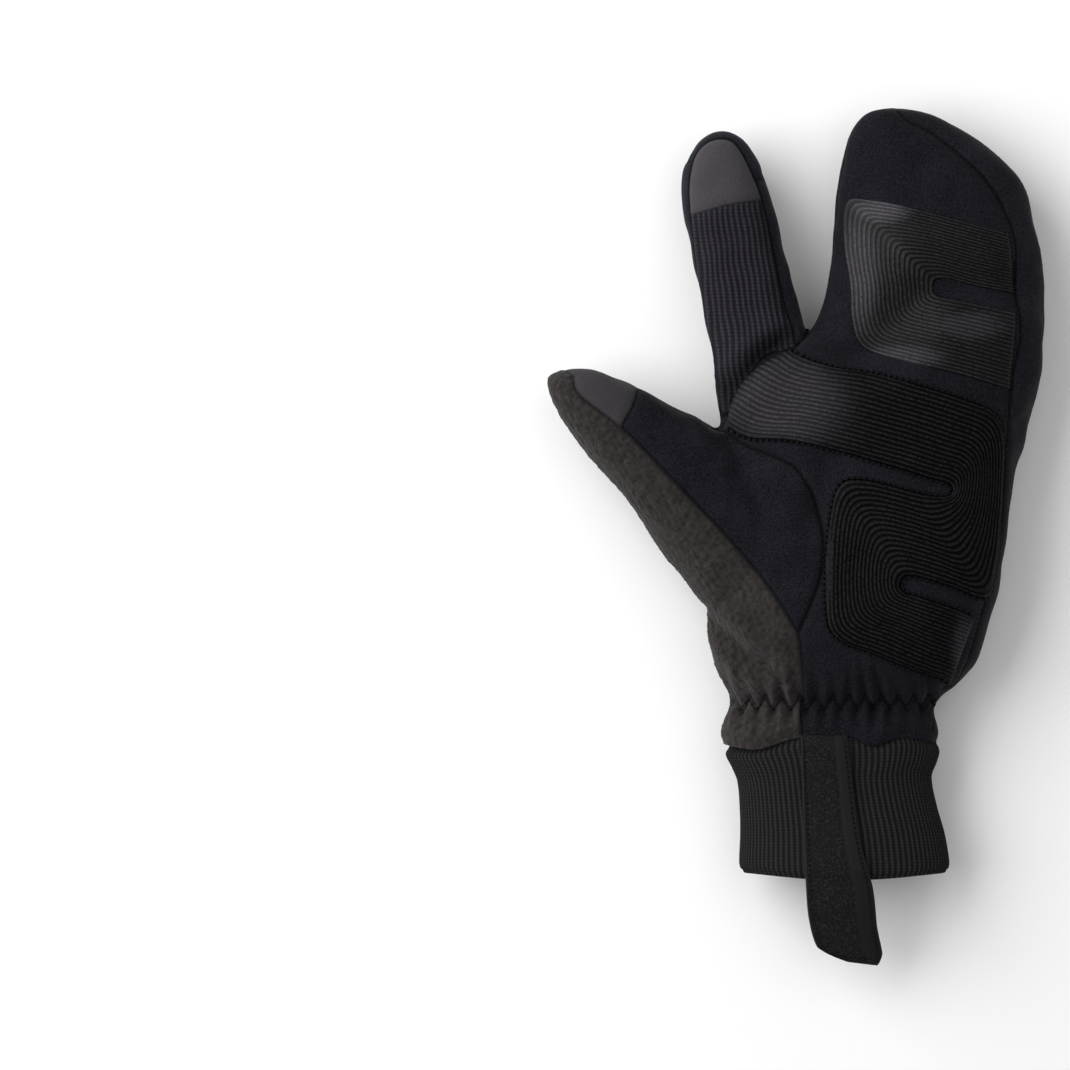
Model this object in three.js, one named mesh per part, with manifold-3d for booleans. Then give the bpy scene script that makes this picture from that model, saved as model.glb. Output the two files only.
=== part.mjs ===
// Lobster claw mitt, left hand: separate thumb and index finger, one pocket for the other three fingers.
// Millimetres. The mitt lies on its back, palm up (+Z), fingers along +Y, thumb towards -X.
// The origin is on the surface it rests on, under the middle of the palm.
import * as THREE from "three";
import { mergeVertices } from "three/addons/utils/BufferGeometryUtils.js";
import Module from "manifold-3d";

const wasm = await Module();
wasm.setup();

// Driving sizes
const handLength = 236;
const handWidth = 118;
const handThickness = 44;
const wall = 3;
const seamGap = 0.3;
const originAlong = 0.353;
const handSquareness = 2.3;

// Index finger
const indexLength = 110.6;
const indexWidth = 34;
const indexThickness = 29;
const indexBaseAlong = 0.493;
const indexBaseAcross = -0.345;

// Thumb
const thumbLength = 113;
const thumbWidth = 40;
const thumbThickness = 31;
const thumbAngle = THREE.MathUtils.degToRad(141.8);
const thumbBaseAlong = 0.282;
const thumbBaseAcross = -0.235;

// Wrist gathers
const gatherDepth = 1.6;
const gatherCount = 10;
const gatherCentre = 0.045;
const gatherReach = 0.075;

// Dents fade in between these shares of handThickness
const dentsStart = 0.45;
const dentsFull = 0.85;

// Cuff and pull tab
const cuffLength = 50.5;
const cuffWidth = 77;
const cuffThickness = 34;
const cuffWall = 2.6;
const cuffCentreAcross = -0.1;
const tabLength = 83;
const tabWidth = 20;
const tabThickness = 1.8;
const tabDroop = 15;
const tabBend = 1.6;
const tabEndSlant = 9.6;
const tabGap = 0.45;

// Grip patches and piping
const palmPatchThickness = 2;
const pocketPatchThickness = 0.9;
const pipingWidth = 1.4;
const pipingRise = 0.4;

// Mesh fineness
const handSides = 40;
const cuffSides = 30;
const fingerSides = 18;
const liningSides = 18;
const widestStep = 0.08;
const cuffStep = 0.35;
const tabStep = 0.1;
const leastHalfSize = 0.4;
const weldDistance = 1e-4;

// Hand and pocket, from the cuff seam (along 0) to the pocket's tip (along 1).
// left, right: shares of handWidth from the hand's axis. top, bottom: shares of handThickness above the floor.
const handSections = [
  { along: 0.000, left: -0.442, right: 0.243, top: 0.80, bottom: -0.03 },
  { along: 0.050, left: -0.433, right: 0.247, top: 0.73, bottom: -0.01 },
  { along: 0.078, left: -0.424, right: 0.274, top: 0.79, bottom: -0.03 },
  { along: 0.130, left: -0.467, right: 0.339, top: 0.90, bottom: -0.05 },
  { along: 0.190, left: -0.483, right: 0.384, top: 0.98, bottom: -0.05 },
  { along: 0.251, left: -0.480, right: 0.420, top: 1.00, bottom: -0.05 },
  { along: 0.384, left: -0.461, right: 0.455, top: 1.00, bottom: -0.05 },
  { along: 0.502, left: -0.455, right: 0.511, top: 1.00, bottom: -0.05 },
  { along: 0.575, left: -0.440, right: 0.550, top: 0.97, bottom: -0.05 },
  { along: 0.618, left: -0.262, right: 0.559, top: 0.94, bottom: -0.05 },
  { along: 0.655, left: -0.165, right: 0.561, top: 0.92, bottom: -0.04 },
  { along: 0.729, left: -0.116, right: 0.558, top: 0.88, bottom: -0.03 },
  { along: 0.839, left: -0.091, right: 0.521, top: 0.80, bottom: 0.01 },
  { along: 0.886, left: -0.082, right: 0.486, top: 0.76, bottom: 0.05 },
  { along: 0.925, left: -0.066, right: 0.414, top: 0.72, bottom: 0.11 },
  { along: 0.956, left: -0.047, right: 0.332, top: 0.67, bottom: 0.18 },
  { along: 0.980, left: -0.019, right: 0.245, top: 0.62, bottom: 0.26 },
  { along: 0.994, left: 0.022, right: 0.172, top: 0.56, bottom: 0.33 },
  { along: 1.000, left: 0.085, right: 0.105, top: 0.46, bottom: 0.43 },
];

// Index finger, from inside the palm (along 0) to its tip (along 1).
// left, right: shares of indexWidth from its own axis. top, bottom: shares of indexThickness.
const indexSections = [
  { along: 0.000, left: -0.340, right: 0.650, top: 1.24, bottom: 0.10 },
  { along: 0.150, left: -0.420, right: 0.620, top: 1.26, bottom: 0.05 },
  { along: 0.285, left: -0.490, right: 0.577, top: 1.24, bottom: 0.04 },
  { along: 0.435, left: -0.587, right: 0.468, top: 1.20, bottom: 0.05 },
  { along: 0.635, left: -0.707, right: 0.294, top: 1.17, bottom: 0.09 },
  { along: 0.735, left: -0.762, right: 0.207, top: 1.15, bottom: 0.13 },
  { along: 0.836, left: -0.783, right: 0.109, top: 1.12, bottom: 0.17 },
  { along: 0.886, left: -0.762, right: 0.054, top: 1.09, bottom: 0.21 },
  { along: 0.936, left: -0.675, right: -0.044, top: 1.03, bottom: 0.28 },
  { along: 0.970, left: -0.588, right: -0.130, top: 0.96, bottom: 0.37 },
  { along: 0.993, left: -0.468, right: -0.250, top: 0.84, bottom: 0.50 },
  { along: 1.000, left: -0.380, right: -0.340, top: 0.72, bottom: 0.63 },
];

// Thumb, along its own axis. left is its outer side, right the side that faces the index finger.
const thumbSections = [
  { along: 0.00, left: -0.72, right: 0.50, top: 1.22, bottom: 0.16 },
  { along: 0.16, left: -0.76, right: 0.62, top: 1.26, bottom: 0.10 },
  { along: 0.28, left: -0.68, right: 0.64, top: 1.26, bottom: 0.12 },
  { along: 0.44, left: -0.565, right: 0.59, top: 1.26, bottom: 0.18 },
  { along: 0.60, left: -0.435, right: 0.50, top: 1.24, bottom: 0.25 },
  { along: 0.75, left: -0.345, right: 0.42, top: 1.20, bottom: 0.32 },
  { along: 0.86, left: -0.265, right: 0.335, top: 1.14, bottom: 0.39 },
  { along: 0.93, left: -0.175, right: 0.24, top: 1.05, bottom: 0.48 },
  { along: 0.975, left: -0.10, right: 0.135, top: 0.94, bottom: 0.59 },
  { along: 1.00, left: -0.035, right: 0.03, top: 0.80, bottom: 0.74 },
];

// Knit cuff, from the seam (along 0) to its open end (along 1).
const cuffSections = [
  { along: 0.00, left: -0.500, right: 0.500, top: 0.98, bottom: -0.02 },
  { along: 0.12, left: -0.485, right: 0.490, top: 0.974, bottom: -0.02 },
  { along: 0.28, left: -0.457, right: 0.477, top: 0.968, bottom: -0.02 },
  { along: 0.48, left: -0.446, right: 0.500, top: 0.968, bottom: -0.02 },
  { along: 0.72, left: -0.446, right: 0.540, top: 0.986, bottom: -0.02 },
  { along: 1.00, left: -0.450, right: 0.566, top: 1.02, bottom: -0.02 },
];

// Dents and soft folds of the palm side. across, along: middle of the dent. depth: share of handThickness.
// wide, long: half reach as shares of handWidth and handLength. turn: degrees from +X.
const dents = [
  { across: -0.36, along: 0.575, depth: 0.085, wide: 0.18, long: 0.022, turn: 38 },
  { across: -0.14, along: 0.400, depth: 0.035, wide: 0.05, long: 0.100, turn: -18 },
  { across: -0.02, along: 0.300, depth: 0.040, wide: 0.16, long: 0.100, turn: 0 },
  { across: 0.05, along: 0.115, depth: 0.035, wide: 0.20, long: 0.016, turn: -24 },
  { across: 0.10, along: 0.155, depth: 0.025, wide: 0.16, long: 0.014, turn: -30 },
  { across: -0.40, along: 0.175, depth: 0.050, wide: 0.12, long: 0.018, turn: -45 },
  { across: 0.15, along: 0.610, depth: 0.035, wide: 0.35, long: 0.020, turn: -8 },
];

// Places in millimetres, from shares of the hand's sizes or of a finger's own sizes.
const placeX = (across) => across * handWidth;
const placeY = (along) => (along - originAlong) * handLength;
const thumbForward = new THREE.Vector2(Math.cos(thumbAngle), Math.sin(thumbAngle));
const fromThumbRoot = (reach, aside) => new THREE.Vector2(
  placeX(thumbBaseAcross) + thumbForward.x * reach + thumbForward.y * aside,
  placeY(thumbBaseAlong) + thumbForward.y * reach - thumbForward.x * aside,
);
const spotOnHand = ([across, along]) => new THREE.Vector2(placeX(across), placeY(along));
const spotOnIndex = ([across, along]) => new THREE.Vector2(
  placeX(indexBaseAcross) + across * indexWidth,
  placeY(indexBaseAlong) + along * indexLength,
);
const spotOnThumb = ([across, along]) => fromThumbRoot(along * thumbLength, across * thumbWidth);
const onHand = (rows) => rows.map(spotOnHand);
const onIndex = (rows) => rows.map(spotOnIndex);
const onThumb = (rows) => rows.map(spotOnThumb);

// Seam lines as rows of across and along. onHand takes shares of handWidth and handLength, onIndex and onThumb
// shares of that finger's own width and length. Lines that leave the mitt run on through the free space round it,
// so that each side's pattern is cut right through.
const pocketToIndexGap = [
  ...onHand([
    [-0.250, 1.100], [-0.235, 0.960], [-0.220, 0.855], [-0.196, 0.745], [-0.180, 0.690],
    [-0.172, 0.655],
  ]),
];
const indexToThumbGap = [
  ...onHand([[-0.470, 0.497]]),
  ...onThumb([[0.699, 0.574], [0.904, 0.870], [0.158, 1.733]]),
];

// Palm side
const outerStripSeam = [
  ...onHand([
    [0.100, 1.100], [0.105, 0.995], [0.219, 0.953], [0.339, 0.901], [0.398, 0.847], [0.433, 0.803],
    [0.473, 0.698], [0.477, 0.635], [0.445, 0.510], [0.430, 0.362], [0.400, 0.274], [0.336, 0.157],
    [0.292, 0.102], [0.222, 0.052], [0.205, -0.100],
  ]),
];
const indexRootSeam = [
  ...onHand([
    [-0.172, 0.655], [-0.215, 0.628], [-0.298, 0.616], [-0.361, 0.591], [-0.414, 0.555],
    [-0.450, 0.519], [-0.470, 0.497],
  ]),
];
const thumbRootSeam = [
  ...onHand([
    [-0.470, 0.497], [-0.430, 0.488], [-0.376, 0.469], [-0.273, 0.447], [-0.219, 0.431],
    [-0.169, 0.390], [-0.140, 0.330], [-0.140, 0.275], [-0.175, 0.222], [-0.216, 0.176],
    [-0.203, 0.100], [-0.200, -0.100],
  ]),
];
const fleeceFrontSeam = [
  ...onThumb([
    [0.059, 1.706], [0.134, 1.014], [0.113, 0.942], [0.029, 0.885], [0.025, 0.698], [-0.055, 0.484],
    [-0.121, 0.321], [-0.198, 0.153],
  ]),
  ...onHand([[-0.295, 0.240], [-0.216, 0.176]]),
];
const thumbTipFrontSeam = [
  ...onThumb([[1.358, 0.970], [0.442, 0.757], [0.029, 0.716]]),
];
const indexPanelLoop = [
  ...onHand([[-0.450, 0.519]]),
  ...onIndex([
    [-0.434, 0.207], [-0.555, 0.463], [-0.677, 0.719], [-0.677, 0.836], [-0.607, 0.922],
    [-0.475, 0.964], [-0.312, 0.969], [-0.184, 0.932], [-0.035, 0.843], [0.069, 0.764], [0.163, 0.623],
    [0.260, 0.463],
  ]),
  ...onHand([[-0.240, 0.638], [-0.235, 0.622]]),
];
const indexTipSeam = [
  ...onIndex([[-0.677, 0.721], [0.069, 0.770]]),
];
const indexOuterFrontEnd = [
  ...onIndex([[-4.720, 1.050], [-0.885, 0.911], [-0.632, 0.892]]),
];
const indexInnerFrontEnd = [
  ...onIndex([[-0.017, 0.834], [0.677, 0.890]]),
];

// Back of the hand
const gussetSeam = [
  ...onHand([
    [0.100, 1.100], [0.090, 0.999], [0.044, 0.992], [0.003, 0.970], [-0.019, 0.928], [-0.008, 0.842],
    [-0.013, 0.730], [-0.058, 0.630], [-0.090, 0.588],
  ]),
];
const pipingLine = [
  ...onHand([
    [-0.172, 0.655], [-0.150, 0.622], [-0.090, 0.588], [-0.078, 0.541], [-0.072, 0.477],
    [-0.091, 0.404], [-0.144, 0.346], [-0.210, 0.310], [-0.307, 0.274], [-0.415, 0.234],
  ]),
];
const fleeceBackSeam = [
  ...onHand([[-0.415, 0.234], [-0.400, 0.190], [-0.379, 0.135], [-0.383, 0.072], [-0.377, -0.100]]),
];
const indexOuterSeam = [
  ...onIndex([
    [-4.720, 1.050], [-0.885, 0.911], [-0.659, 0.879], [-0.534, 0.717], [-0.403, 0.570],
    [-0.260, 0.346],
  ]),
  ...onHand([[-0.395, 0.590], [-0.398, 0.520], [-0.415, 0.480], [-0.423, 0.290], [-0.415, 0.234]]),
];
const indexInnerSeam = [
  ...onIndex([[0.677, 0.890], [0.000, 0.843], [0.156, 0.670], [0.316, 0.480]]),
  ...onHand([[-0.213, 0.662], [-0.172, 0.655]]),
];
const thumbBackRootSeam = [
  ...onHand([[-0.470, 0.497], [-0.409, 0.494]]),
];
const thumbBackSeam = [
  ...onHand([[-0.418, 0.430]]),
  ...onThumb([
    [0.318, 0.401], [0.252, 0.562], [0.255, 0.713], [0.249, 0.820], [0.225, 0.905], [0.211, 0.996],
    [0.134, 1.706],
  ]),
];
const thumbTipBackSeam = [
  ...onThumb([[1.358, 0.970], [0.580, 0.779], [0.255, 0.713]]),
];

// The side seam between palm side and back slopes down towards the little-finger edge.
const sideSeam = [
  { across: -1.25, height: 0.42 },
  { across: -0.25, height: 0.50 },
  { across: 0.75, height: 0.27 },
];

// Outlines of the two grip patches.
const palmPatchOutline = onHand([
  [-0.215, 0.617], [-0.165, 0.596], [0.017, 0.582], [0.160, 0.564], [0.307, 0.541], [0.412, 0.515],
  [0.426, 0.490], [0.400, 0.383], [0.370, 0.275], [0.364, 0.243], [0.364, 0.262], [0.115, 0.262],
  [0.102, 0.250], [0.112, 0.241], [0.338, 0.199], [0.273, 0.098], [0.122, 0.122], [-0.009, 0.149],
  [-0.085, 0.163], [-0.125, 0.193], [-0.132, 0.293], [-0.105, 0.383], [-0.085, 0.407], [0.005, 0.417],
  [0.140, 0.396], [0.245, 0.387], [0.262, 0.402], [0.240, 0.414], [0.150, 0.425], [0.005, 0.445],
  [-0.090, 0.461], [-0.290, 0.479], [-0.395, 0.482], [-0.405, 0.512], [-0.345, 0.570],
]);
const pocketPatchOutline = onHand([
  [-0.063, 0.858], [0.128, 0.846], [0.412, 0.808], [0.455, 0.726], [0.450, 0.708], [0.230, 0.735],
  [0.210, 0.722], [0.230, 0.700], [0.450, 0.677], [0.432, 0.558], [0.130, 0.597], [0.005, 0.612],
  [-0.038, 0.643], [-0.050, 0.720], [-0.070, 0.810],
]);

// Reach of the pattern round the mitt, in the same shares, and of upright cuts in shares of handThickness.
const patternEdge = { left: -1.25, right: 0.75, low: -0.08, high: 1.08 };
const below = -0.2;
const above = 1.6;

const colours = {
  weave: 0x1b1e24,
  softshell: 0x1a1a22,
  sideFabric: 0x141419,
  ribKnit: 0x17171a,
  touchPatch: 0x3c3a3d,
  fleece: 0x34302e,
  grip: 0x15120f,
  piping: 0x77777d,
  cuffKnit: 0x1f1d1d,
  tabFabric: 0x1d1b1d,
};

// Value of one column of a section table at any place along it, with smooth slopes through the rows.
function columnAt(table, column, along) {
  let i = table.findIndex((row) => row.along >= along);
  i = Math.max(1, i < 0 ? table.length - 1 : i);
  const [a, b] = [table[i - 1], table[i]];
  const before = table[i - 2] ?? a;
  const after = table[i + 1] ?? b;
  const span = b.along - a.along;
  const slopeA = (b[column] - before[column]) / (b.along - before.along);
  const slopeB = (after[column] - a[column]) / (after.along - a.along);
  const t = (along - a.along) / span;
  const t2 = t * t;
  const t3 = t2 * t;
  return (2 * t3 - 3 * t2 + 1) * a[column] + (t3 - 2 * t2 + t) * span * slopeA
    + (3 * t2 - 2 * t3) * b[column] + (t3 - t2) * span * slopeB;
}

// Stations of a loft: every row of its table, and more where rows lie further apart than step.
function stationsOf(table, step) {
  const stations = [table[0].along];
  for (let i = 1; i < table.length; i += 1) {
    const span = table[i].along - table[i - 1].along;
    const steps = Math.ceil(span / step);
    for (let k = 1; k <= steps; k += 1) stations.push(table[i - 1].along + span * k / steps);
  }
  return stations;
}

// One ring of a soft tube: a rounded box of half sizes shrunk by inset and flattened where it meets the floor.
function ring(section, inset, sides, toWorld, ripple = () => 0) {
  const centre = (section.left + section.right) / 2;
  const middle = (section.top + section.bottom) / 2;
  const points = [];
  for (let k = 0; k < sides; k += 1) {
    const angle = 2 * Math.PI * k / sides;
    const shrink = inset + ripple(angle);
    const halfWidth = Math.max(leastHalfSize, (section.right - section.left) / 2 - shrink);
    const halfHeight = Math.max(leastHalfSize, (section.top - section.bottom) / 2 - shrink);
    const round = (value) => Math.sign(value) * Math.abs(value) ** (2 / handSquareness);
    const across = centre + halfWidth * round(Math.cos(angle));
    const height = middle + halfHeight * round(Math.sin(angle));
    points.push(toWorld(across, height));
  }
  return points;
}

// Closed solid through rings of equal length, with a fan over each end.
function solidFromRings(rings) {
  const sides = rings[0].length;
  const positions = [];
  const triangles = [];
  for (const points of rings) for (const p of points) positions.push(p.x, p.y, p.z);
  for (let r = 0; r + 1 < rings.length; r += 1) {
    for (let k = 0; k < sides; k += 1) {
      const a = r * sides + k;
      const b = r * sides + (k + 1) % sides;
      triangles.push(a, b, a + sides, b, b + sides, a + sides);
    }
  }
  for (const [index, flip] of [[0, true], [rings.length - 1, false]]) {
    const centre = new THREE.Vector3();
    for (const p of rings[index]) centre.add(p);
    centre.divideScalar(sides);
    const hub = positions.length / 3;
    positions.push(centre.x, centre.y, centre.z);
    for (let k = 0; k < sides; k += 1) {
      const a = index * sides + k;
      const b = index * sides + (k + 1) % sides;
      triangles.push(...(flip ? [hub, b, a] : [hub, a, b]));
    }
  }
  const geometry = new THREE.BufferGeometry();
  geometry.setAttribute("position", new THREE.Float32BufferAttribute(positions, 3));
  geometry.setIndex(triangles);
  return toManifold(geometry);
}

function toManifold(geometry) {
  const bare = geometry.clone();
  bare.deleteAttribute("normal");
  bare.deleteAttribute("uv");
  const merged = mergeVertices(bare, weldDistance);
  const make = (indices) => new wasm.Manifold(new wasm.Mesh({
    numProp: 3,
    vertProperties: new Float32Array(merged.attributes.position.array),
    triVerts: new Uint32Array(indices),
  }));
  const indices = Array.from(merged.index.array).reduce((kept, _, i, all) => {
    if (i % 3 !== 0) return kept;
    const [a, b, c] = [all[i], all[i + 1], all[i + 2]];
    if (a !== b && b !== c && c !== a) kept.push(a, b, c);
    return kept;
  }, []);
  const solid = make(indices);
  if (solid.volume() > 0) return solid;
  return make(indices.map((_, i, all) => all[i - (i % 3) + (2 - (i % 3))]));
}

// Sinking of the palm side at a place, from the dents table. It grows with height, so the back stays flat.
function dentAt(x, y, z) {
  const upper = THREE.MathUtils.smoothstep(z, handThickness * dentsStart, handThickness * dentsFull);
  let sink = 0;
  for (const dent of dents) {
    const turn = THREE.MathUtils.degToRad(dent.turn);
    const dx = x - placeX(dent.across);
    const dy = y - placeY(dent.along);
    const u = (dx * Math.cos(turn) + dy * Math.sin(turn)) / (dent.wide * handWidth);
    const v = (-dx * Math.sin(turn) + dy * Math.cos(turn)) / (dent.long * handLength);
    sink += dent.depth * handThickness * Math.exp(-u * u - v * v);
  }
  return sink * upper;
}

// A point of the mitt: dented, and never below the floor or, for the lining, below its own thickness.
function settled(x, y, z, inset) {
  const sunk = z - dentAt(x, y, z + inset);
  return new THREE.Vector3(x, y, Math.max(sunk, Math.max(inset, 0)));
}

function sectionAt(table, along, width, thickness) {
  return {
    left: columnAt(table, "left", along) * width,
    right: columnAt(table, "right", along) * width,
    top: columnAt(table, "top", along) * thickness,
    bottom: columnAt(table, "bottom", along) * thickness,
  };
}

// Hand and pocket. The lining runs a little past the cuff seam, so that the wrist is open.
function handSolid(inset, sides) {
  const rings = stationsOf(handSections, widestStep).map((along) => {
    const section = sectionAt(handSections, along, handWidth, handThickness);
    const y = placeY(along) - Math.max(0, inset) * along;
    const weight = Math.exp(-(((along - gatherCentre) / gatherReach) ** 2));
    const ripple = (angle) => gatherDepth * weight * (1 - Math.cos(angle * gatherCount)) / 2;
    return ring(section, inset, sides, (x, z) => settled(x, y, z, inset), ripple);
  });
  if (inset > 0) rings.unshift(rings[0].map((p) => new THREE.Vector3(p.x, p.y - wall, p.z)));
  return solidFromRings(rings);
}

function indexSolid(inset, sides) {
  const rings = stationsOf(indexSections, 2 * widestStep).map((along) => {
    const section = sectionAt(indexSections, along, indexWidth, indexThickness);
    const axis = placeX(indexBaseAcross);
    const y = placeY(indexBaseAlong) + along * (indexLength - Math.max(0, inset));
    return ring(section, inset, sides, (x, z) => settled(axis + x, y, z, inset));
  });
  return solidFromRings(rings);
}

function thumbSolid(inset, sides) {
  const rings = stationsOf(thumbSections, 2 * widestStep).map((along) => {
    const section = sectionAt(thumbSections, along, thumbWidth, thumbThickness);
    const reach = along * (thumbLength - Math.max(0, inset));
    const toWorld = (across, z) => {
      const { x, y } = fromThumbRoot(reach, across);
      return settled(x, y, z, inset);
    };
    return ring(section, inset, sides, toWorld);
  });
  return solidFromRings(rings);
}

// The whole mitt without its cuff, shrunk by inset (grown where inset is negative).
function mittSolid(inset, sides = [handSides, fingerSides]) {
  return handSolid(inset, sides[0]).add(indexSolid(inset, sides[1])).add(thumbSolid(inset, sides[1]));
}

// Upright wall of even thickness along a line on the hand, running on a little past both ends.
function ribbon(line, thickness, runOn) {
  const points = line.map((p) => p.clone());
  const last = points.length - 1;
  points[0].addScaledVector(points[0].clone().sub(points[1]).normalize(), runOn);
  points[last].addScaledVector(points[last].clone().sub(points[last - 1]).normalize(), runOn);
  const normals = points.map((_, i) => {
    const direction = points[Math.min(last, i + 1)].clone().sub(points[Math.max(0, i - 1)]).normalize();
    return new THREE.Vector2(-direction.y, direction.x);
  });
  const side = (sign) => points.map((p, i) => p.clone().addScaledVector(normals[i], sign * thickness / 2));
  return upright([...side(1), ...side(-1).reverse()]);
}

function upright(outline) {
  const depth = (above - below) * handThickness;
  const geometry = new THREE.ExtrudeGeometry(new THREE.Shape(outline), { depth, bevelEnabled: false });
  geometry.translate(0, 0, below * handThickness);
  return toManifold(geometry);
}

// Everything on one side of the sloping side seam: above it for sign 1, below it for sign -1.
function sideOfSeam(sign) {
  const limit = (sign > 0 ? above : below) * handThickness;
  const edge = sideSeam.map(({ across, height }) => (
    new THREE.Vector2(placeX(across), height * handThickness + sign * seamGap / 2)));
  const [first, last] = [edge[0], edge[edge.length - 1]];
  const shape = new THREE.Shape([...edge, new THREE.Vector2(last.x, limit), new THREE.Vector2(first.x, limit)]);
  const geometry = new THREE.ExtrudeGeometry(shape, { depth: 2 * handLength, bevelEnabled: false });
  geometry.rotateX(Math.PI / 2);
  geometry.translate(0, handLength, 0);
  return toManifold(geometry);
}

function meshOf(name, solid, colour, roughness) {
  const data = solid.getMesh();
  const geometry = new THREE.BufferGeometry();
  const positions = new Float32Array(data.numVert * 3);
  for (let i = 0; i < data.numVert; i += 1) {
    for (let axis = 0; axis < 3; axis += 1) {
      positions[3 * i + axis] = data.vertProperties[i * data.numProp + axis];
    }
  }
  geometry.setAttribute("position", new THREE.BufferAttribute(positions, 3));
  geometry.setIndex(Array.from(data.triVerts));
  geometry.computeVertexNormals();
  const material = new THREE.MeshStandardMaterial({ color: colour, roughness, metalness: 0 });
  const mesh = new THREE.Mesh(geometry, material);
  mesh.name = name;
  return mesh;
}

// Cuts the flat pattern of one side along its lines and gives the cell that holds a panel's place.
function pattern(lines) {
  const { left, right, low, high } = patternEdge;
  const sheet = upright(onHand([[left, low], [right, low], [right, high], [left, high]]));
  const cells = lines.reduce((rest, line) => rest.subtract(line), sheet).decompose();
  return (spot) => {
    const pin = upright([[-seamGap, -seamGap], [seamGap, -seamGap], [0, seamGap]]
      .map(([dx, dy]) => new THREE.Vector2(spot.x + dx, spot.y + dy)));
    return cells.find((cell) => cell.intersect(pin).volume() > 0);
  };
}

const seam = (line) => ribbon(line, seamGap, seamGap);

// Seams that cross leave slivers of a few hundredths of a millimetre, which go with the cut.
function largestBody(solid) {
  return solid.decompose().reduce((best, body) => (body.volume() > best.volume() ? body : best));
}

// The padded shell, cut into panels. A panel named on both sides runs round the edge of the mitt in one piece.
function cutPanels() {
  const shell = mittSolid(0).subtract(mittSolid(wall, [liningSides, liningSides]));
  const palmCell = pattern([
    pocketToIndexGap, indexToThumbGap, outerStripSeam, indexRootSeam, thumbRootSeam, fleeceFrontSeam,
    thumbTipFrontSeam, indexPanelLoop, indexTipSeam, indexOuterFrontEnd, indexInnerFrontEnd,
  ].map(seam));
  const backCell = pattern([
    ...[
      pocketToIndexGap, indexToThumbGap, gussetSeam, fleeceBackSeam, indexOuterSeam, indexInnerSeam,
      thumbBackRootSeam, thumbBackSeam, thumbTipBackSeam,
    ].map(seam),
    ribbon(pipingLine, pipingWidth + 2 * seamGap, seamGap),
  ]);
  const [upper, lower] = [sideOfSeam(1), sideOfSeam(-1)];
  return panelTable.map(({ name, palm, back, colour, roughness }) => {
    const palmPart = palm && palmCell(palm);
    const backPart = back && backCell(back);
    let space = palmPart ? palmPart.intersect(upper) : backPart.intersect(lower);
    if (palmPart && backPart) {
      space = space.add(backPart.intersect(lower)).add(palmPart.intersect(backPart));
    }
    return meshOf(name, largestBody(shell.intersect(space)), colour, roughness);
  });
}

// Each panel with one place inside it on the palm side, the back, or both.
const panelTable = [
  { name: "back_panel", back: spotOnHand([0.20, 0.40]), colour: colours.weave, roughness: 0.85 },
  { name: "outer_side_strip", palm: spotOnHand([0.53, 0.70]), colour: colours.sideFabric, roughness: 0.8 },
  { name: "pocket_gusset", back: spotOnHand([-0.07, 0.80]), colour: colours.sideFabric, roughness: 0.8 },
  { name: "palm_panel", palm: spotOnHand([-0.05, 0.53]), colour: colours.softshell, roughness: 0.85 },
  {
    name: "index_back_panel", palm: spotOnIndex([-0.40, 1.01]), back: spotOnIndex([0.16, 0.23]),
    colour: colours.softshell, roughness: 0.8,
  },
  {
    name: "index_outer_strip", palm: spotOnIndex([-0.64, 0.55]), back: spotOnIndex([-0.61, 0.55]),
    colour: colours.sideFabric, roughness: 0.8,
  },
  {
    name: "index_inner_strip", palm: spotOnIndex([0.33, 0.55]), back: spotOnIndex([0.36, 0.55]),
    colour: colours.sideFabric, roughness: 0.8,
  },
  { name: "index_rib_panel", palm: spotOnIndex([-0.19, 0.48]), colour: colours.ribKnit, roughness: 0.9 },
  {
    name: "index_touch_tip", palm: spotOnIndex([-0.33, 0.85]),
    colour: colours.touchPatch, roughness: 0.7,
  },
  {
    name: "thumb_front_panel", palm: spotOnThumb([0.25, 0.35]), back: spotOnThumb([0.44, 0.54]),
    colour: colours.softshell, roughness: 0.85,
  },
  {
    name: "thumb_touch_tip", palm: spotOnThumb([0.18, 0.83]), back: spotOnThumb([0.39, 0.83]),
    colour: colours.touchPatch, roughness: 0.7,
  },
  {
    name: "thumb_fleece_panel", palm: spotOnThumb([-0.40, 0.24]), back: spotOnThumb([-0.49, 0.28]),
    colour: colours.fleece, roughness: 1,
  },
];

// A patch lies on the palm side, clear of it by the seam gap.
function patch(outline, thickness) {
  const skin = mittSolid(-seamGap - thickness).subtract(mittSolid(-seamGap));
  return skin.intersect(upright(outline)).intersect(sideOfSeam(1));
}

// The piping fills its seam and stands a little proud of it.
function piping() {
  const skin = mittSolid(-pipingRise).subtract(mittSolid(wall, [liningSides, liningSides]));
  return skin.intersect(ribbon(pipingLine.slice(1), pipingWidth, -seamGap)).intersect(sideOfSeam(-1));
}

const cuffStart = placeY(0) - seamGap;

function cuffSolid(inset) {
  const rings = stationsOf(cuffSections, cuffStep).reverse().map((along) => {
    const section = sectionAt(cuffSections, along, cuffWidth, cuffThickness);
    const y = cuffStart - along * cuffLength;
    const toWorld = (x, z) => new THREE.Vector3(x + placeX(cuffCentreAcross), y, Math.max(z, inset));
    return ring(section, inset, cuffSides, toWorld);
  });
  if (inset > 0) {
    rings.unshift(rings[0].map((p) => new THREE.Vector3(p.x, p.y - wall, p.z)));
    rings.push(rings[rings.length - 1].map((p) => new THREE.Vector3(p.x, p.y + wall, p.z)));
  }
  return solidFromRings(rings);
}

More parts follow.
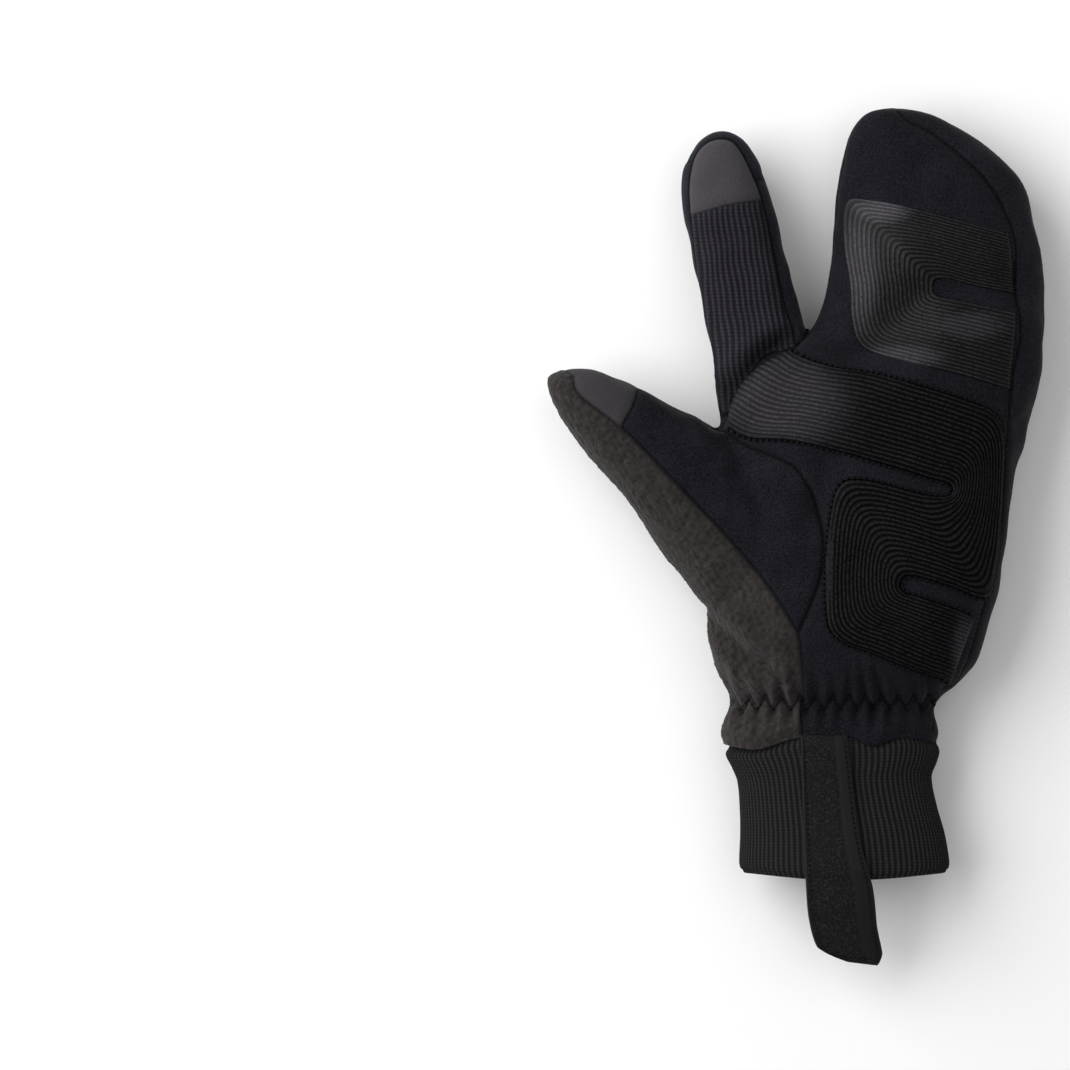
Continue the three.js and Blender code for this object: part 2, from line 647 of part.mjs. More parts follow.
// Strap on the cuff, from its seam (along 0) to its free end (along 1): its edges as shares of tabWidth.
const tabSections = [
  { along: 0.00, left: -0.575, right: 0.295 },
  { along: 0.39, left: -0.520, right: 0.515 },
  { along: 0.67, left: -0.465, right: 0.770 },
  { along: 0.81, left: -0.380, right: 0.860 },
  { along: 1.00, left: -0.285, right: 0.935 },
];

function tabSolid() {
  const restsUpTo = cuffLength / tabLength;
  const rings = stationsOf(tabSections, tabStep).reverse().map((along) => {
    const onCuff = Math.min(1, along / restsUpTo);
    const free = Math.max(0, along - restsUpTo) / (1 - restsUpTo);
    const y = cuffStart - along * tabLength;
    const bed = columnAt(cuffSections, "top", onCuff) * cuffThickness + tabGap;
    const bottom = bed - tabDroop * free ** tabBend;
    const [left, right] = ["left", "right"].map((edge) => {
      return placeX(cuffCentreAcross) + columnAt(tabSections, edge, along) * tabWidth;
    });
    const leftY = y + tabEndSlant * free;
    const top = bottom + tabThickness;
    return [[left, leftY, bottom], [right, y, bottom], [right, y, top], [left, leftY, top]].map((corner) => {
      return new THREE.Vector3(...corner);
    });
  });
  return solidFromRings(rings);
}

const mitt = new THREE.Group();
mitt.add(...cutPanels());
const cuff = cuffSolid(0).subtract(cuffSolid(cuffWall));
mitt.add(meshOf("palm_grip_patch", patch(palmPatchOutline, palmPatchThickness), colours.grip, 0.55));
mitt.add(meshOf("pocket_grip_patch", patch(pocketPatchOutline, pocketPatchThickness), colours.grip, 0.5));
mitt.add(meshOf("reflective_piping", piping(), colours.piping, 0.4));
mitt.add(meshOf("knit_cuff", cuff, colours.cuffKnit, 0.95));
mitt.add(meshOf("pull_tab", tabSolid(), colours.tabFabric, 0.85));

export default mitt;
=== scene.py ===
"""Lobster claw mitt for the left hand, lying on its back, palm up: the looks of every piece.

The mitt's skin is one soft form: lofted from section tables, puffed by a cloth simulation, folded,
gathered, and cut along its seam lines into the panels that it is sewn from. Modelling is in millimetres, in
the frame's own axes: +Z up, fingers along +Y, thumb towards -X.
"""

import math
from collections import namedtuple

import bpy
import numpy as np
from bpy.props import FloatProperty, FloatVectorProperty, IntProperty, PointerProperty
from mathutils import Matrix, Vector
from mathutils.bvhtree import BVHTree
from mathutils.kdtree import KDTree


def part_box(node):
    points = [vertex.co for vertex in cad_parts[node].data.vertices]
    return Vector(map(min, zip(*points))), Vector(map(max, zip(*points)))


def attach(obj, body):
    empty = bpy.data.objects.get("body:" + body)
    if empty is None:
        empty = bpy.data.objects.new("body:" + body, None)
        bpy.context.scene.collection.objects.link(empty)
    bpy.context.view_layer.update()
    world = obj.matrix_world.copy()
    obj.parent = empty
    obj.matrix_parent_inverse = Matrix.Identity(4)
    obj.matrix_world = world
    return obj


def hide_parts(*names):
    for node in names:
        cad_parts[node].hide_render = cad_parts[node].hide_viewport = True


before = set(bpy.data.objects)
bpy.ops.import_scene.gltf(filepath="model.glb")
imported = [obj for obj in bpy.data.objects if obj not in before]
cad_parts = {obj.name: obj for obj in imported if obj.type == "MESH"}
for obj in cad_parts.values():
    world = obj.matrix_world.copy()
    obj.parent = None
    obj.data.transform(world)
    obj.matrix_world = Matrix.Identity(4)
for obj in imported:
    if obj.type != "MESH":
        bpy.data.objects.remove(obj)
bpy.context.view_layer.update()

bl_info = {
    "name": "Lobster claw mitt",
    "version": (1, 0, 0),
    "blender": (4, 5, 0),
    "location": "View3D > Sidebar > Mitt",
    "description": "Sews, gathers and finishes a winter cycling mitt round its packed frame",
    "category": "Object",
}

MM = 0.001
SEED = 11
FAR_ABOVE = 200.0

# The hand's tables are shares of these lengths, in millimetres
HAND_LENGTH = 236.0
HAND_WIDTH = 118.0
HAND_THICKNESS = 44.0
ORIGIN_ALONG = 0.353
SQUARENESS = 2.3
LOFT_STATIONS = 110
LOFT_SIDES = 90
INDEX_LENGTH = 110.6
INDEX_WIDTH = 34.0
INDEX_THICKNESS = 29.0
INDEX_BASE = (-0.345, 0.493)
THUMB_LENGTH = 113.0
THUMB_WIDTH = 40.0
THUMB_THICKNESS = 31.0
THUMB_ANGLE = math.radians(141.8)
STRAIGHT_UP = math.radians(90)
THUMB_BASE = (-0.235, 0.282)
CUFF_WIDTH = 77.0
CUFF_THICKNESS = 34.0
CUFF_CENTRE = -0.1
CUFF_BOX = [np.array(corner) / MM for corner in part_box("knit_cuff")]
TAB_BOX = [np.array(corner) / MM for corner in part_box("pull_tab")]

Section = namedtuple("Section", "along left right top bottom")


def rows_of(kind, rows):
    """A table's plain rows, with that named tuple's names for their columns."""
    return [kind(*row) for row in rows]


# Hand and pocket, from the cuff seam (along 0) to the pocket's tip (along 1), with a run-out below the seam
HAND_SECTIONS = rows_of(Section, [
    (-0.04, -0.45, 0.241, 0.86, -0.03), (0.0, -0.455, 0.24, 0.8, -0.03),
    (0.05, -0.44, 0.23, 0.73, -0.01), (0.078, -0.434, 0.264, 0.79, -0.03),
    (0.13, -0.477, 0.348, 0.9, -0.05), (0.19, -0.494, 0.385, 0.98, -0.05),
    (0.251, -0.48, 0.42, 1.0, -0.05), (0.384, -0.461, 0.455, 1.0, -0.05),
    (0.44, -0.458, 0.474, 1.0, -0.05), (0.466, -0.457, 0.496, 1.0, -0.05),
    (0.502, -0.455, 0.511, 1.0, -0.05), (0.575, -0.44, 0.55, 0.97, -0.05),
    (0.618, -0.262, 0.559, 0.94, -0.05), (0.655, -0.165, 0.561, 0.92, -0.04),
    (0.729, -0.116, 0.558, 0.88, -0.03), (0.839, -0.091, 0.521, 0.8, 0.01),
    (0.886, -0.082, 0.486, 0.76, 0.05), (0.925, -0.066, 0.414, 0.72, 0.11),
    (0.956, -0.047, 0.332, 0.67, 0.18), (0.98, -0.019, 0.245, 0.62, 0.26),
    (0.994, 0.022, 0.172, 0.56, 0.33), (1.0, 0.085, 0.105, 0.46, 0.43),
])

# Index finger, from inside the palm to its tip, in shares of its own width and thickness
INDEX_SECTIONS = rows_of(Section, [
    (0.0, -0.34, 0.65, 1.24, 0.1), (0.15, -0.42, 0.62, 1.26, 0.05),
    (0.285, -0.49, 0.577, 1.24, 0.04), (0.435, -0.587, 0.468, 1.2, 0.05),
    (0.635, -0.707, 0.294, 1.17, 0.09), (0.735, -0.762, 0.207, 1.15, 0.13),
    (0.836, -0.783, 0.109, 1.12, 0.17), (0.886, -0.762, 0.054, 1.09, 0.21),
    (0.936, -0.675, -0.044, 1.03, 0.28), (0.97, -0.588, -0.13, 0.96, 0.37),
    (0.993, -0.468, -0.25, 0.84, 0.5), (1.0, -0.38, -0.34, 0.72, 0.63),
])

# Thumb, along its own axis: left is its outer side, right the side that faces the index finger
THUMB_SECTIONS = rows_of(Section, [
    (0.0, -0.72, 0.5, 1.22, 0.16), (0.16, -0.76, 0.62, 1.26, 0.1),
    (0.28, -0.68, 0.64, 1.26, 0.12), (0.44, -0.565, 0.59, 1.26, 0.18),
    (0.6, -0.435, 0.5, 1.24, 0.25), (0.75, -0.345, 0.42, 1.2, 0.32),
    (0.86, -0.265, 0.335, 1.14, 0.39), (0.93, -0.175, 0.24, 1.05, 0.48),
    (0.975, -0.1, 0.135, 0.94, 0.59), (1.0, -0.035, 0.03, 0.8, 0.74),
])

# Knit cuff, from its seam to its open end, in shares of its own width and thickness
CUFF_SECTIONS = rows_of(Section, [
    (0.0, -0.52, 0.52, 0.97, 0.0), (0.08, -0.514, 0.514, 0.975, 0.0),
    (0.17, -0.484, 0.498, 0.97, 0.0), (0.28, -0.457, 0.475, 0.96, 0.0),
    (0.48, -0.446, 0.497, 0.96, 0.0), (0.69, -0.443, 0.534, 0.98, 0.0),
    (0.86, -0.447, 0.554, 1.0, 0.0), (1.0, -0.45, 0.564, 1.02, 0.0),
])

Dent = namedtuple("Dent", "across along depth wide long turn")

# Dents of the palm side. depth is in millimetres, wide and long are half reaches in shares, turn in degrees.
DENTS = rows_of(Dent, [
    (-0.14, 0.4, 1.6, 0.05, 0.1, -18),
    (-0.02, 0.3, 1.8, 0.16, 0.1, 0),
    (0.15, 0.61, 1.5, 0.35, 0.02, -8),
])

Fold = namedtuple("Fold", "side depth width line")

# Folds of the skin: side 1 is the palm, -1 the back. depth and width are in millimetres.
FOLDS = rows_of(Fold, [
    (1, 3.8, 3.4, [(-0.468, 0.512), (-0.432, 0.545), (-0.378, 0.581), (-0.318, 0.611), (-0.265, 0.626)]),
    (1, 2.4, 3.2, [(-0.52, 0.196), (-0.47, 0.184), (-0.425, 0.163), (-0.38, 0.142), (-0.32, 0.128)]),
    (1, 0.9, 3.6, [(-0.45, 0.262), (-0.38, 0.225), (-0.32, 0.19)]),
    (1, 0.8, 3.0, [(-0.395, 0.43), (-0.34, 0.445), (-0.28, 0.44), (-0.23, 0.424)]),
    (1, 0.9, 2.6, [(-0.56, 0.395), (-0.525, 0.38), (-0.49, 0.372)]),
    (1, 0.9, 2.4, [(0.48, 0.505), (0.515, 0.512), (0.56, 0.525)]),
    (1, 3.0, 8.0, [(0.455, 0.716), (0.235, 0.712), (0.078, 0.659), (-0.022, 0.616)]),
    (1, 0.9, 4.2, [(0.01, 0.93), (0.09, 0.905), (0.17, 0.9)]),
    (1, 0.6, 4.0, [(-0.08, 0.905), (0.0, 0.88), (0.06, 0.872)]),
    (-1, 1.1, 4.0, [(0.48, 0.655), (0.33, 0.64), (0.18, 0.625), (0.06, 0.63)]),
    (-1, 1.0, 4.0, [(0.43, 0.47), (0.3, 0.455), (0.12, 0.44), (0.0, 0.45)]),
    (-1, 0.9, 3.6, [(0.4, 0.33), (0.25, 0.318), (0.08, 0.322)]),
    (-1, 0.8, 3.2, [(0.35, 0.2), (0.15, 0.19), (-0.05, 0.2)]),
])

# Seam lines on the palm side, in shares of the hand's width (across) and length (along)
POCKET_TO_INDEX = [
    (-0.25, 1.2), (-0.235, 0.96), (-0.22, 0.855), (-0.196, 0.745), (-0.18, 0.69), (-0.172, 0.655),
]
INDEX_TO_THUMB = [(-0.47, 0.497), (-0.52, 0.545), (-0.7, 0.66), (-1.6, 0.83)]
OUTER_STRIP_SEAM = [
    (0.1, 1.1), (0.105, 0.995), (0.219, 0.955), (0.339, 0.905), (0.404, 0.866), (0.437, 0.832),
    (0.46, 0.795), (0.478, 0.72), (0.477, 0.635), (0.445, 0.51), (0.43, 0.362), (0.4, 0.274),
    (0.336, 0.157),
    (0.292, 0.102), (0.222, 0.052), (0.205, -0.15),
]
INDEX_ROOT_SEAM = [
    (-0.172, 0.655), (-0.215, 0.628), (-0.298, 0.616), (-0.361, 0.591), (-0.414, 0.555), (-0.45, 0.519),
    (-0.47, 0.497),
]
THUMB_ROOT_SEAM = [
    (-0.47, 0.497), (-0.43, 0.488), (-0.376, 0.469), (-0.273, 0.447), (-0.219, 0.431), (-0.169, 0.39),
    (-0.14, 0.33), (-0.14, 0.275), (-0.175, 0.222), (-0.216, 0.176),
]
FLEECE_INNER_SEAM = [(-0.216, 0.176), (-0.206, 0.14), (-0.203, 0.08), (-0.2, -0.15)]
FLEECE_FRONT_SEAM = [
    (-1.6, 0.83), (-0.97, 0.6), (-0.92, 0.576), (-0.895, 0.548), (-0.755, 0.492), (-0.611, 0.418),
    (-0.502, 0.361), (-0.392, 0.301), (-0.295, 0.24), (-0.216, 0.176),
]
THUMB_TIP_FRONT_SEAM = [(-0.68, 0.75), (-0.712, 0.565), (-0.768, 0.498)]
INDEX_PANEL_LOOP = [
    (-0.46, 0.519), (-0.484, 0.59), (-0.52, 0.71), (-0.551, 0.83), (-0.554, 0.885), (-0.533, 0.926),
    (-0.487, 0.948), (-0.43, 0.95), (-0.392, 0.934), (-0.346, 0.888), (-0.32, 0.851), (-0.29, 0.785),
    (-0.26, 0.71), (-0.23, 0.638), (-0.225, 0.622),
]
INDEX_TIP_SEAM = [(-0.6, 0.824), (-0.54, 0.831), (-0.43, 0.845), (-0.325, 0.854), (-0.25, 0.858)]

# Seam lines on the back
GUSSET_SEAM = [
    (0.1, 1.2), (0.09, 0.999), (0.044, 0.992), (0.003, 0.97), (-0.019, 0.928), (-0.008, 0.842),
    (-0.013, 0.73), (-0.058, 0.63), (-0.09, 0.588),
]
PIPING_LINE = [
    (-0.172, 0.655), (-0.15, 0.622), (-0.09, 0.588), (-0.078, 0.541), (-0.072, 0.477), (-0.091, 0.404),
    (-0.144, 0.346), (-0.21, 0.31), (-0.307, 0.274), (-0.415, 0.234),
]
FLEECE_BACK_SEAM = [(-0.415, 0.234), (-0.4, 0.19), (-0.379, 0.135), (-0.383, 0.072), (-0.377, -0.15)]
INDEX_OUTER_SEAM = [
    (-1.6, 1.0), (-0.6, 0.92), (-0.535, 0.905), (-0.499, 0.829), (-0.461, 0.76), (-0.42, 0.655),
    (-0.395, 0.59), (-0.398, 0.52), (-0.409, 0.494),
]
THUMB_TO_INDEX_BACK = [(-0.409, 0.494), (-0.42, 0.44), (-0.423, 0.29), (-0.415, 0.234)]
INDEX_INNER_SEAM = [
    (-0.15, 0.91), (-0.345, 0.888), (-0.3, 0.807), (-0.254, 0.718), (-0.213, 0.662), (-0.172, 0.655),
]
THUMB_BACK_SEAM = [
    (-0.3, 0.42), (-0.418, 0.43), (-0.47, 0.443), (-0.605, 0.482), (-0.718, 0.527), (-0.8, 0.558),
    (-0.869, 0.58), (-0.94, 0.605), (-1.6, 0.83),
]
THUMB_TIP_BACK_SEAM = [(-0.68, 0.75), (-0.7, 0.59), (-0.718, 0.527)]

# Height of the side seam between palm side and back, as (across, share of the thickness)
SIDE_SEAM = [(-1.25, 0.42), (-0.25, 0.5), (0.75, 0.27)]

# Cuff seam of the palm side: across the hand, and how far up the hand
CUFF_SEAM = [
    (-0.5, 0.006), (-0.357, -0.004), (-0.21, 0.016), (-0.06, 0.018), (0.028, 0.004), (0.119, 0.016),
    (0.25, 0.004),
]


def hand_x(across):
    return across * HAND_WIDTH


def hand_y(along):
    return (along - ORIGIN_ALONG) * HAND_LENGTH


def on_hand(rows):
    """Shares of the hand's width and length, as millimetres."""
    rows = np.asarray(rows, float)
    return np.stack([hand_x(rows[:, 0]), hand_y(rows[:, 1])], axis=1)


CUFF_START = hand_y(0.0)


# Curves and lofts

def smooth_curve(points, step):
    """A Catmull-Rom curve through points, with a point about every step."""
    points = np.asarray(points, float)
    padded = np.vstack([2 * points[0] - points[1], points, 2 * points[-1] - points[-2]])
    pieces = []
    for a, b, c, d in zip(padded[:-3], padded[1:-2], padded[2:-1], padded[3:]):
        count = max(2, int(math.ceil(np.linalg.norm(c - b) / step)))
        t = np.linspace(0, 1, count, endpoint=False)[:, None]
        pieces.append(0.5 * (
            2 * b + (c - a) * t + (2 * a - 5 * b + 4 * c - d) * t**2 + (3 * b - a - 3 * c + d) * t**3))
    pieces.append(points[-1:])
    return np.vstack(pieces)


def evenly(points, step):
    """The same polyline with a point every step of its length."""
    lengths = np.concatenate([[0], np.cumsum(np.linalg.norm(np.diff(points, axis=0), axis=1))])
    count = max(2, int(round(lengths[-1] / step)) + 1)
    places = np.linspace(0, lengths[-1], count)
    return np.stack([np.interp(places, lengths, points[:, k]) for k in range(points.shape[1])], axis=1)


def column(table, name, along):
    """One column of a section table at any places along it, with smooth slopes through its rows."""
    xs = np.array([row.along for row in table])
    ys = np.array([getattr(row, name) for row in table])
    before = np.maximum(np.arange(len(xs)) - 1, 0)
    after = np.minimum(np.arange(len(xs)) + 1, len(xs) - 1)
    slopes = (ys[after] - ys[before]) / (xs[after] - xs[before])
    upper = np.clip(np.searchsorted(xs, along), 1, len(xs) - 1)
    lower = upper - 1
    span = xs[upper] - xs[lower]
    t = (along - xs[lower]) / span
    return (
        (2 * t**3 - 3 * t**2 + 1) * ys[lower] + (t**3 - 2 * t**2 + t) * span * slopes[lower]
        + (3 * t**2 - 2 * t**3) * ys[upper] + (t**3 - t**2) * span * slopes[upper])


def loft(table, width, thickness):
    """Rings of a soft tube, a rounded box through the table's sections: across, share along, and height."""
    share = np.sin(np.linspace(0, math.pi / 2, LOFT_STATIONS))
    along = table[0].along + share * (table[-1].along - table[0].along)
    left, right, top, bottom = (column(table, name, along)[:, None] for name in Section._fields[1:])
    angle = np.linspace(0, 2 * math.pi, LOFT_SIDES, endpoint=False)

    def rounded(value):
        return np.sign(value) * np.abs(value) ** (2 / SQUARENESS)

    across = ((left + right) / 2 + (right - left) / 2 * rounded(np.cos(angle))) * width
    height = ((top + bottom) / 2 + (top - bottom) / 2 * rounded(np.sin(angle))) * thickness
    return across, along[:, None] + 0 * across, height


def grid_faces(rows, columns, start=0, around=True, along=False):
    """Four-sided faces of a grid of points, closed round its columns, and along its rows where asked."""
    r, k = np.meshgrid(np.arange(rows - (not along)), np.arange(columns - (not around)), indexing="ij")
    a, b = r * columns + k, r * columns + (k + 1) % columns
    total = rows * columns
    faces = np.stack([a, b, (b + columns) % total, (a + columns) % total], axis=-1).reshape(-1, 4)
    return (faces + start).tolist()


def tube(rings):
    """Points and faces of a closed tube through rings, with a fan over each end."""
    count, sides = rings.shape[:2]
    points = rings.reshape(-1, 3)
    walls = grid_faces(count, sides)
    hubs = np.array([rings[0].mean(axis=0), rings[-1].mean(axis=0)])
    side = np.arange(sides)
    first = [[len(points), int(j), int(i)] for i, j in zip(side, (side + 1) % sides)]
    base = (count - 1) * sides
    last = [[len(points) + 1, base + int(i), base + int(j)] for i, j in zip(side, (side + 1) % sides)]
    return np.vstack([points, hubs]), walls + first + last


def mitt_tubes():
    """The hand, the index finger and the thumb, each a closed tube along its own way from its base."""
    tubes = []
    for sections, width, thickness, length, base, angle in (
            (HAND_SECTIONS, HAND_WIDTH, HAND_THICKNESS, HAND_LENGTH, (0.0, 0.0), STRAIGHT_UP),
            (INDEX_SECTIONS, INDEX_WIDTH, INDEX_THICKNESS, INDEX_LENGTH, INDEX_BASE, STRAIGHT_UP),
            (THUMB_SECTIONS, THUMB_WIDTH, THUMB_THICKNESS, THUMB_LENGTH, THUMB_BASE, THUMB_ANGLE)):
        across, along, height = loft(sections, width, thickness)
        x = hand_x(base[0]) + math.cos(angle) * along * length + math.sin(angle) * across
        y = hand_y(base[1]) + math.sin(angle) * along * length - math.cos(angle) * across
        tubes.append(tube(np.stack([x, y, height], axis=-1)))
    return tubes


# Meshes

def mesh_object(name, points, faces):
    """An object with that mesh, its points given in millimetres."""
    mesh = bpy.data.meshes.new(name)
    mesh.from_pydata((np.asarray(points) * MM).tolist(), [], [list(map(int, face)) for face in faces])
    mesh.validate()
    made = bpy.data.objects.new(name, mesh)
    bpy.context.scene.collection.objects.link(made)
    return made


def remeshed(size):
    """The three lofts as one closed skin with quads of that size: points in millimetres, and triangles."""
    points, faces, start = [], [], 0
    for tube_points, tube_faces in mitt_tubes():
        points.append(tube_points)
        faces += [[v + start for v in face] for face in tube_faces]
        start += len(tube_points)
    source = mesh_object("mitt_form", np.vstack(points), faces)
    remesh = source.modifiers.new("skin", "REMESH")
    remesh.mode = "VOXEL"
    remesh.voxel_size = size * MM
    graph = bpy.context.evaluated_depsgraph_get()
    result = bpy.data.meshes.new_from_object(source.evaluated_get(graph))
    bpy.data.objects.remove(source)
    skin = read_mesh(result)
    bpy.data.meshes.remove(result)
    return skin


def read_mesh(mesh):
    """A mesh's points in millimetres and its triangles."""
    mesh.calc_loop_triangles()
    points = np.empty(len(mesh.vertices) * 3)
    mesh.vertices.foreach_get("co", points)
    triangles = np.empty(len(mesh.loop_triangles) * 3, int)
    mesh.loop_triangles.foreach_get("vertices", triangles)
    return points.reshape(-1, 3) / MM, triangles.reshape(-1, 3)


def edges_of(triangles):
    pairs = np.vstack([triangles[:, [0, 1]], triangles[:, [1, 2]], triangles[:, [2, 0]]])
    return np.unique(np.sort(pairs, axis=1), axis=0)


def relaxed(points, edges, rounds, hold=None):
    """Points pulled to the mean of their neighbours and back, which smooths without shrinking much."""
    count = np.bincount(edges.ravel(), minlength=len(points))[:, None]
    points = points.copy()
    for turn in range(2 * rounds):
        total = np.zeros_like(points)
        np.add.at(total, edges[:, 0], points[edges[:, 1]])
        np.add.at(total, edges[:, 1], points[edges[:, 0]])
        step = (total / np.maximum(count, 1) - points) * (0.55 if turn % 2 == 0 else -0.50)
        points += step if hold is None else step * hold
    return points


def normals_of(points, triangles):
    corners = points[triangles]
    flat = np.cross(corners[:, 1] - corners[:, 0], corners[:, 2] - corners[:, 0])
    normals = np.zeros_like(points)
    for k in range(3):
        np.add.at(normals, triangles[:, k], flat)
    return normals / np.maximum(np.linalg.norm(normals, axis=1), 1e-12)[:, None]


def distance_to(line, places):
    """Distance of each place to a polyline in the plane, in blocks to spare memory."""
    starts, ends = line[:-1], line[1:]
    spans = ends - starts
    squares = np.maximum((spans**2).sum(axis=1), 1e-9)
    nearest = np.empty(len(places))
    for i in range(0, len(places), 4000):
        offsets = places[i:i + 4000, None, :] - starts[None]
        t = np.clip((offsets * spans).sum(axis=2) / squares, 0, 1)
        nearest[i:i + 4000] = np.sqrt(((offsets - t[..., None] * spans) ** 2).sum(axis=2).min(axis=1))
    return nearest


def inside(outline, places):
    """Which places lie in a closed outline."""
    x, y = places[:, 0], places[:, 1]
    odd = np.zeros(len(places), bool)
    for (ax, ay), (bx, by) in zip(outline, np.roll(outline, -1, axis=0)):
        if ay == by:
            continue
        crosses = (ay > y) != (by > y)
        odd ^= crosses & (x < (bx - ax) * (y - ay) / (by - ay) + ax)
    return odd


# The pattern of panels

PANELS = [
    "back_panel", "outer_side_strip", "pocket_gusset", "palm_panel", "index_back_panel", "index_outer_strip",
    "index_inner_strip", "index_rib_panel", "index_touch_tip", "thumb_front_panel", "thumb_touch_tip",
    "thumb_fleece_panel",
]
NOTHING = -1


def outline_of(*lines, corners=()):
    """A closed outline: seam lines in shares, each smoothed by itself, then plain corners far outside."""
    parts = [smooth_curve(on_hand(line), 1.5) for line in lines]
    if corners:
        parts.append(on_hand(corners))
    return np.vstack(parts)


class Pattern:
    """Where each panel lies, on the palm side and on the back."""

    def __init__(self):
        far_left, low, high = -1.6, -0.15, 1.3
        gap_to_thumb = INDEX_TO_THUMB
        self.cuff_seam = smooth_curve(on_hand(CUFF_SEAM), 2.0)
        self.palm_thumb = outline_of(
            THUMB_ROOT_SEAM, FLEECE_INNER_SEAM, [(far_left, low), (far_left, 0.83)], gap_to_thumb[::-1])
        self.palm_fleece = outline_of(FLEECE_FRONT_SEAM, FLEECE_INNER_SEAM, corners=[(far_left, low)])
        self.palm_thumb_tip = outline_of(
            THUMB_TIP_FRONT_SEAM, corners=[(-0.80, 0.45), (far_left, 0.45), (far_left, 0.9)])
        self.palm_strip = outline_of(OUTER_STRIP_SEAM, corners=[(0.9, low), (0.9, 1.1)])
        self.palm_index = outline_of(
            INDEX_ROOT_SEAM, gap_to_thumb, [(far_left, high), (-0.25, high)], POCKET_TO_INDEX)
        self.index_loop = outline_of(INDEX_PANEL_LOOP)
        self.index_tip = outline_of(INDEX_TIP_SEAM, corners=[(-0.25, 1.1), (-0.6, 1.1)])
        self.index_cap = on_hand([
            (far_left, 0.97), (-0.60, 0.920), (-0.527, 0.911), (-0.35, 0.884), (-0.15, 0.91), (-0.15, high),
            (far_left, high)])
        self.back_thumb = outline_of(
            [(-0.470, 0.497), (-0.409, 0.494)], THUMB_TO_INDEX_BACK, FLEECE_BACK_SEAM,
            [(far_left, low), (far_left, 0.83)], gap_to_thumb[::-1])
        self.back_fleece = outline_of(THUMB_BACK_SEAM, corners=[(far_left, low), (-0.3, low)])
        self.back_thumb_tip = outline_of(
            THUMB_TIP_BACK_SEAM, corners=[(-0.75, 0.45), (far_left, 0.45), (far_left, 0.9)])
        self.back_gusset = outline_of(POCKET_TO_INDEX, PIPING_LINE[:3], GUSSET_SEAM[::-1])
        self.back_index = outline_of(
            PIPING_LINE, THUMB_TO_INDEX_BACK[::-1], [(-0.409, 0.494), (-0.470, 0.497)], gap_to_thumb,
            [(far_left, high), (-0.25, high)], POCKET_TO_INDEX)
        self.back_outer = outline_of(INDEX_OUTER_SEAM, [(-0.409, 0.494), (-0.470, 0.497)], gap_to_thumb)
        self.back_inner = outline_of(INDEX_INNER_SEAM, corners=[(-0.05, 0.66), (-0.05, 0.91)])
        self.index_axis = on_hand([(-0.34, 0.55), (-0.36, 0.65), (-0.44, 0.92)])

    def above_side_seam(self, points):
        across = [hand_x(a) for a, _ in SIDE_SEAM]
        heights = [h * HAND_THICKNESS for _, h in SIDE_SEAM]
        return points[:, 2] > np.interp(points[:, 0], across, heights)

    def labels(self, points):
        """The number in PANELS of the panel that holds each point, or NOTHING below the cuff seam."""
        places = points[:, :2]
        palm = np.full(len(points), PANELS.index("palm_panel"))
        back = np.full(len(points), PANELS.index("back_panel"))
        left_of_axis = places[:, 0] < np.interp(places[:, 1], self.index_axis[:, 1], self.index_axis[:, 0])

        def put(side, outline, name, within=True):
            side[inside(outline, places) & within] = PANELS.index(name)

        put(palm, self.palm_strip, "outer_side_strip")
        in_index = inside(self.palm_index, places)
        put(palm, self.palm_index, "index_inner_strip")
        put(palm, self.palm_index, "index_outer_strip", left_of_axis)
        put(palm, self.index_cap, "index_back_panel", in_index)
        put(palm, self.index_loop, "index_rib_panel", in_index)
        put(palm, self.index_loop, "index_touch_tip", in_index & inside(self.index_tip, places))
        in_thumb = inside(self.palm_thumb, places)
        put(palm, self.palm_thumb, "thumb_front_panel")
        put(palm, self.palm_thumb_tip, "thumb_touch_tip", in_thumb)
        put(palm, self.palm_fleece, "thumb_fleece_panel", in_thumb)

        put(back, self.back_gusset, "pocket_gusset")
        in_back_index = inside(self.back_index, places)
        put(back, self.back_index, "index_back_panel")
        put(back, self.back_outer, "index_outer_strip", in_back_index)
        put(back, self.back_inner, "index_inner_strip", in_back_index)
        in_back_thumb = inside(self.back_thumb, places)
        put(back, self.back_thumb, "thumb_front_panel")
        put(back, self.back_thumb_tip, "thumb_touch_tip", in_back_thumb)
        put(back, self.back_fleece, "thumb_fleece_panel", in_back_thumb)
        put(back, self.back_thumb, "thumb_fleece_panel", places[:, 1] < hand_y(0.36))

        found = np.where(self.above_side_seam(points), palm, back)
        seam = np.interp(places[:, 0], self.cuff_seam[:, 0], self.cuff_seam[:, 1])
        found[places[:, 1] < seam] = NOTHING
        return found


# Shaping of the skin

# The elastic's zigzag and the gathers round it, the flat that the mitt rests on, and the folds' shoulders
ZIGZAG_PITCH = 6.2
ZIGZAG_HEIGHT = 2.5
ZIGZAG_ALONG = 0.0635
PUCKER = 1.35
GATHER_ABOVE = 10.0
GATHER_BELOW = 6.5
ELASTIC_DRAW = 1.8
ELASTIC_REACH = 5.5
GROOVE_DEPTH = 1.3
GROOVE_WIDTH = 1.0
REST_ROUND = 0.8
FOLD_SHOULDER = 0.35
FOLD_SHOULDER_AWAY = 2.2


def zigzag(x):
    """Height of the elastic stitch line at x, in millimetres along Y."""
    return hand_y(ZIGZAG_ALONG) + ZIGZAG_HEIGHT * 2 * (np.abs((x / ZIGZAG_PITCH) % 1 * 2 - 1) - 0.5)


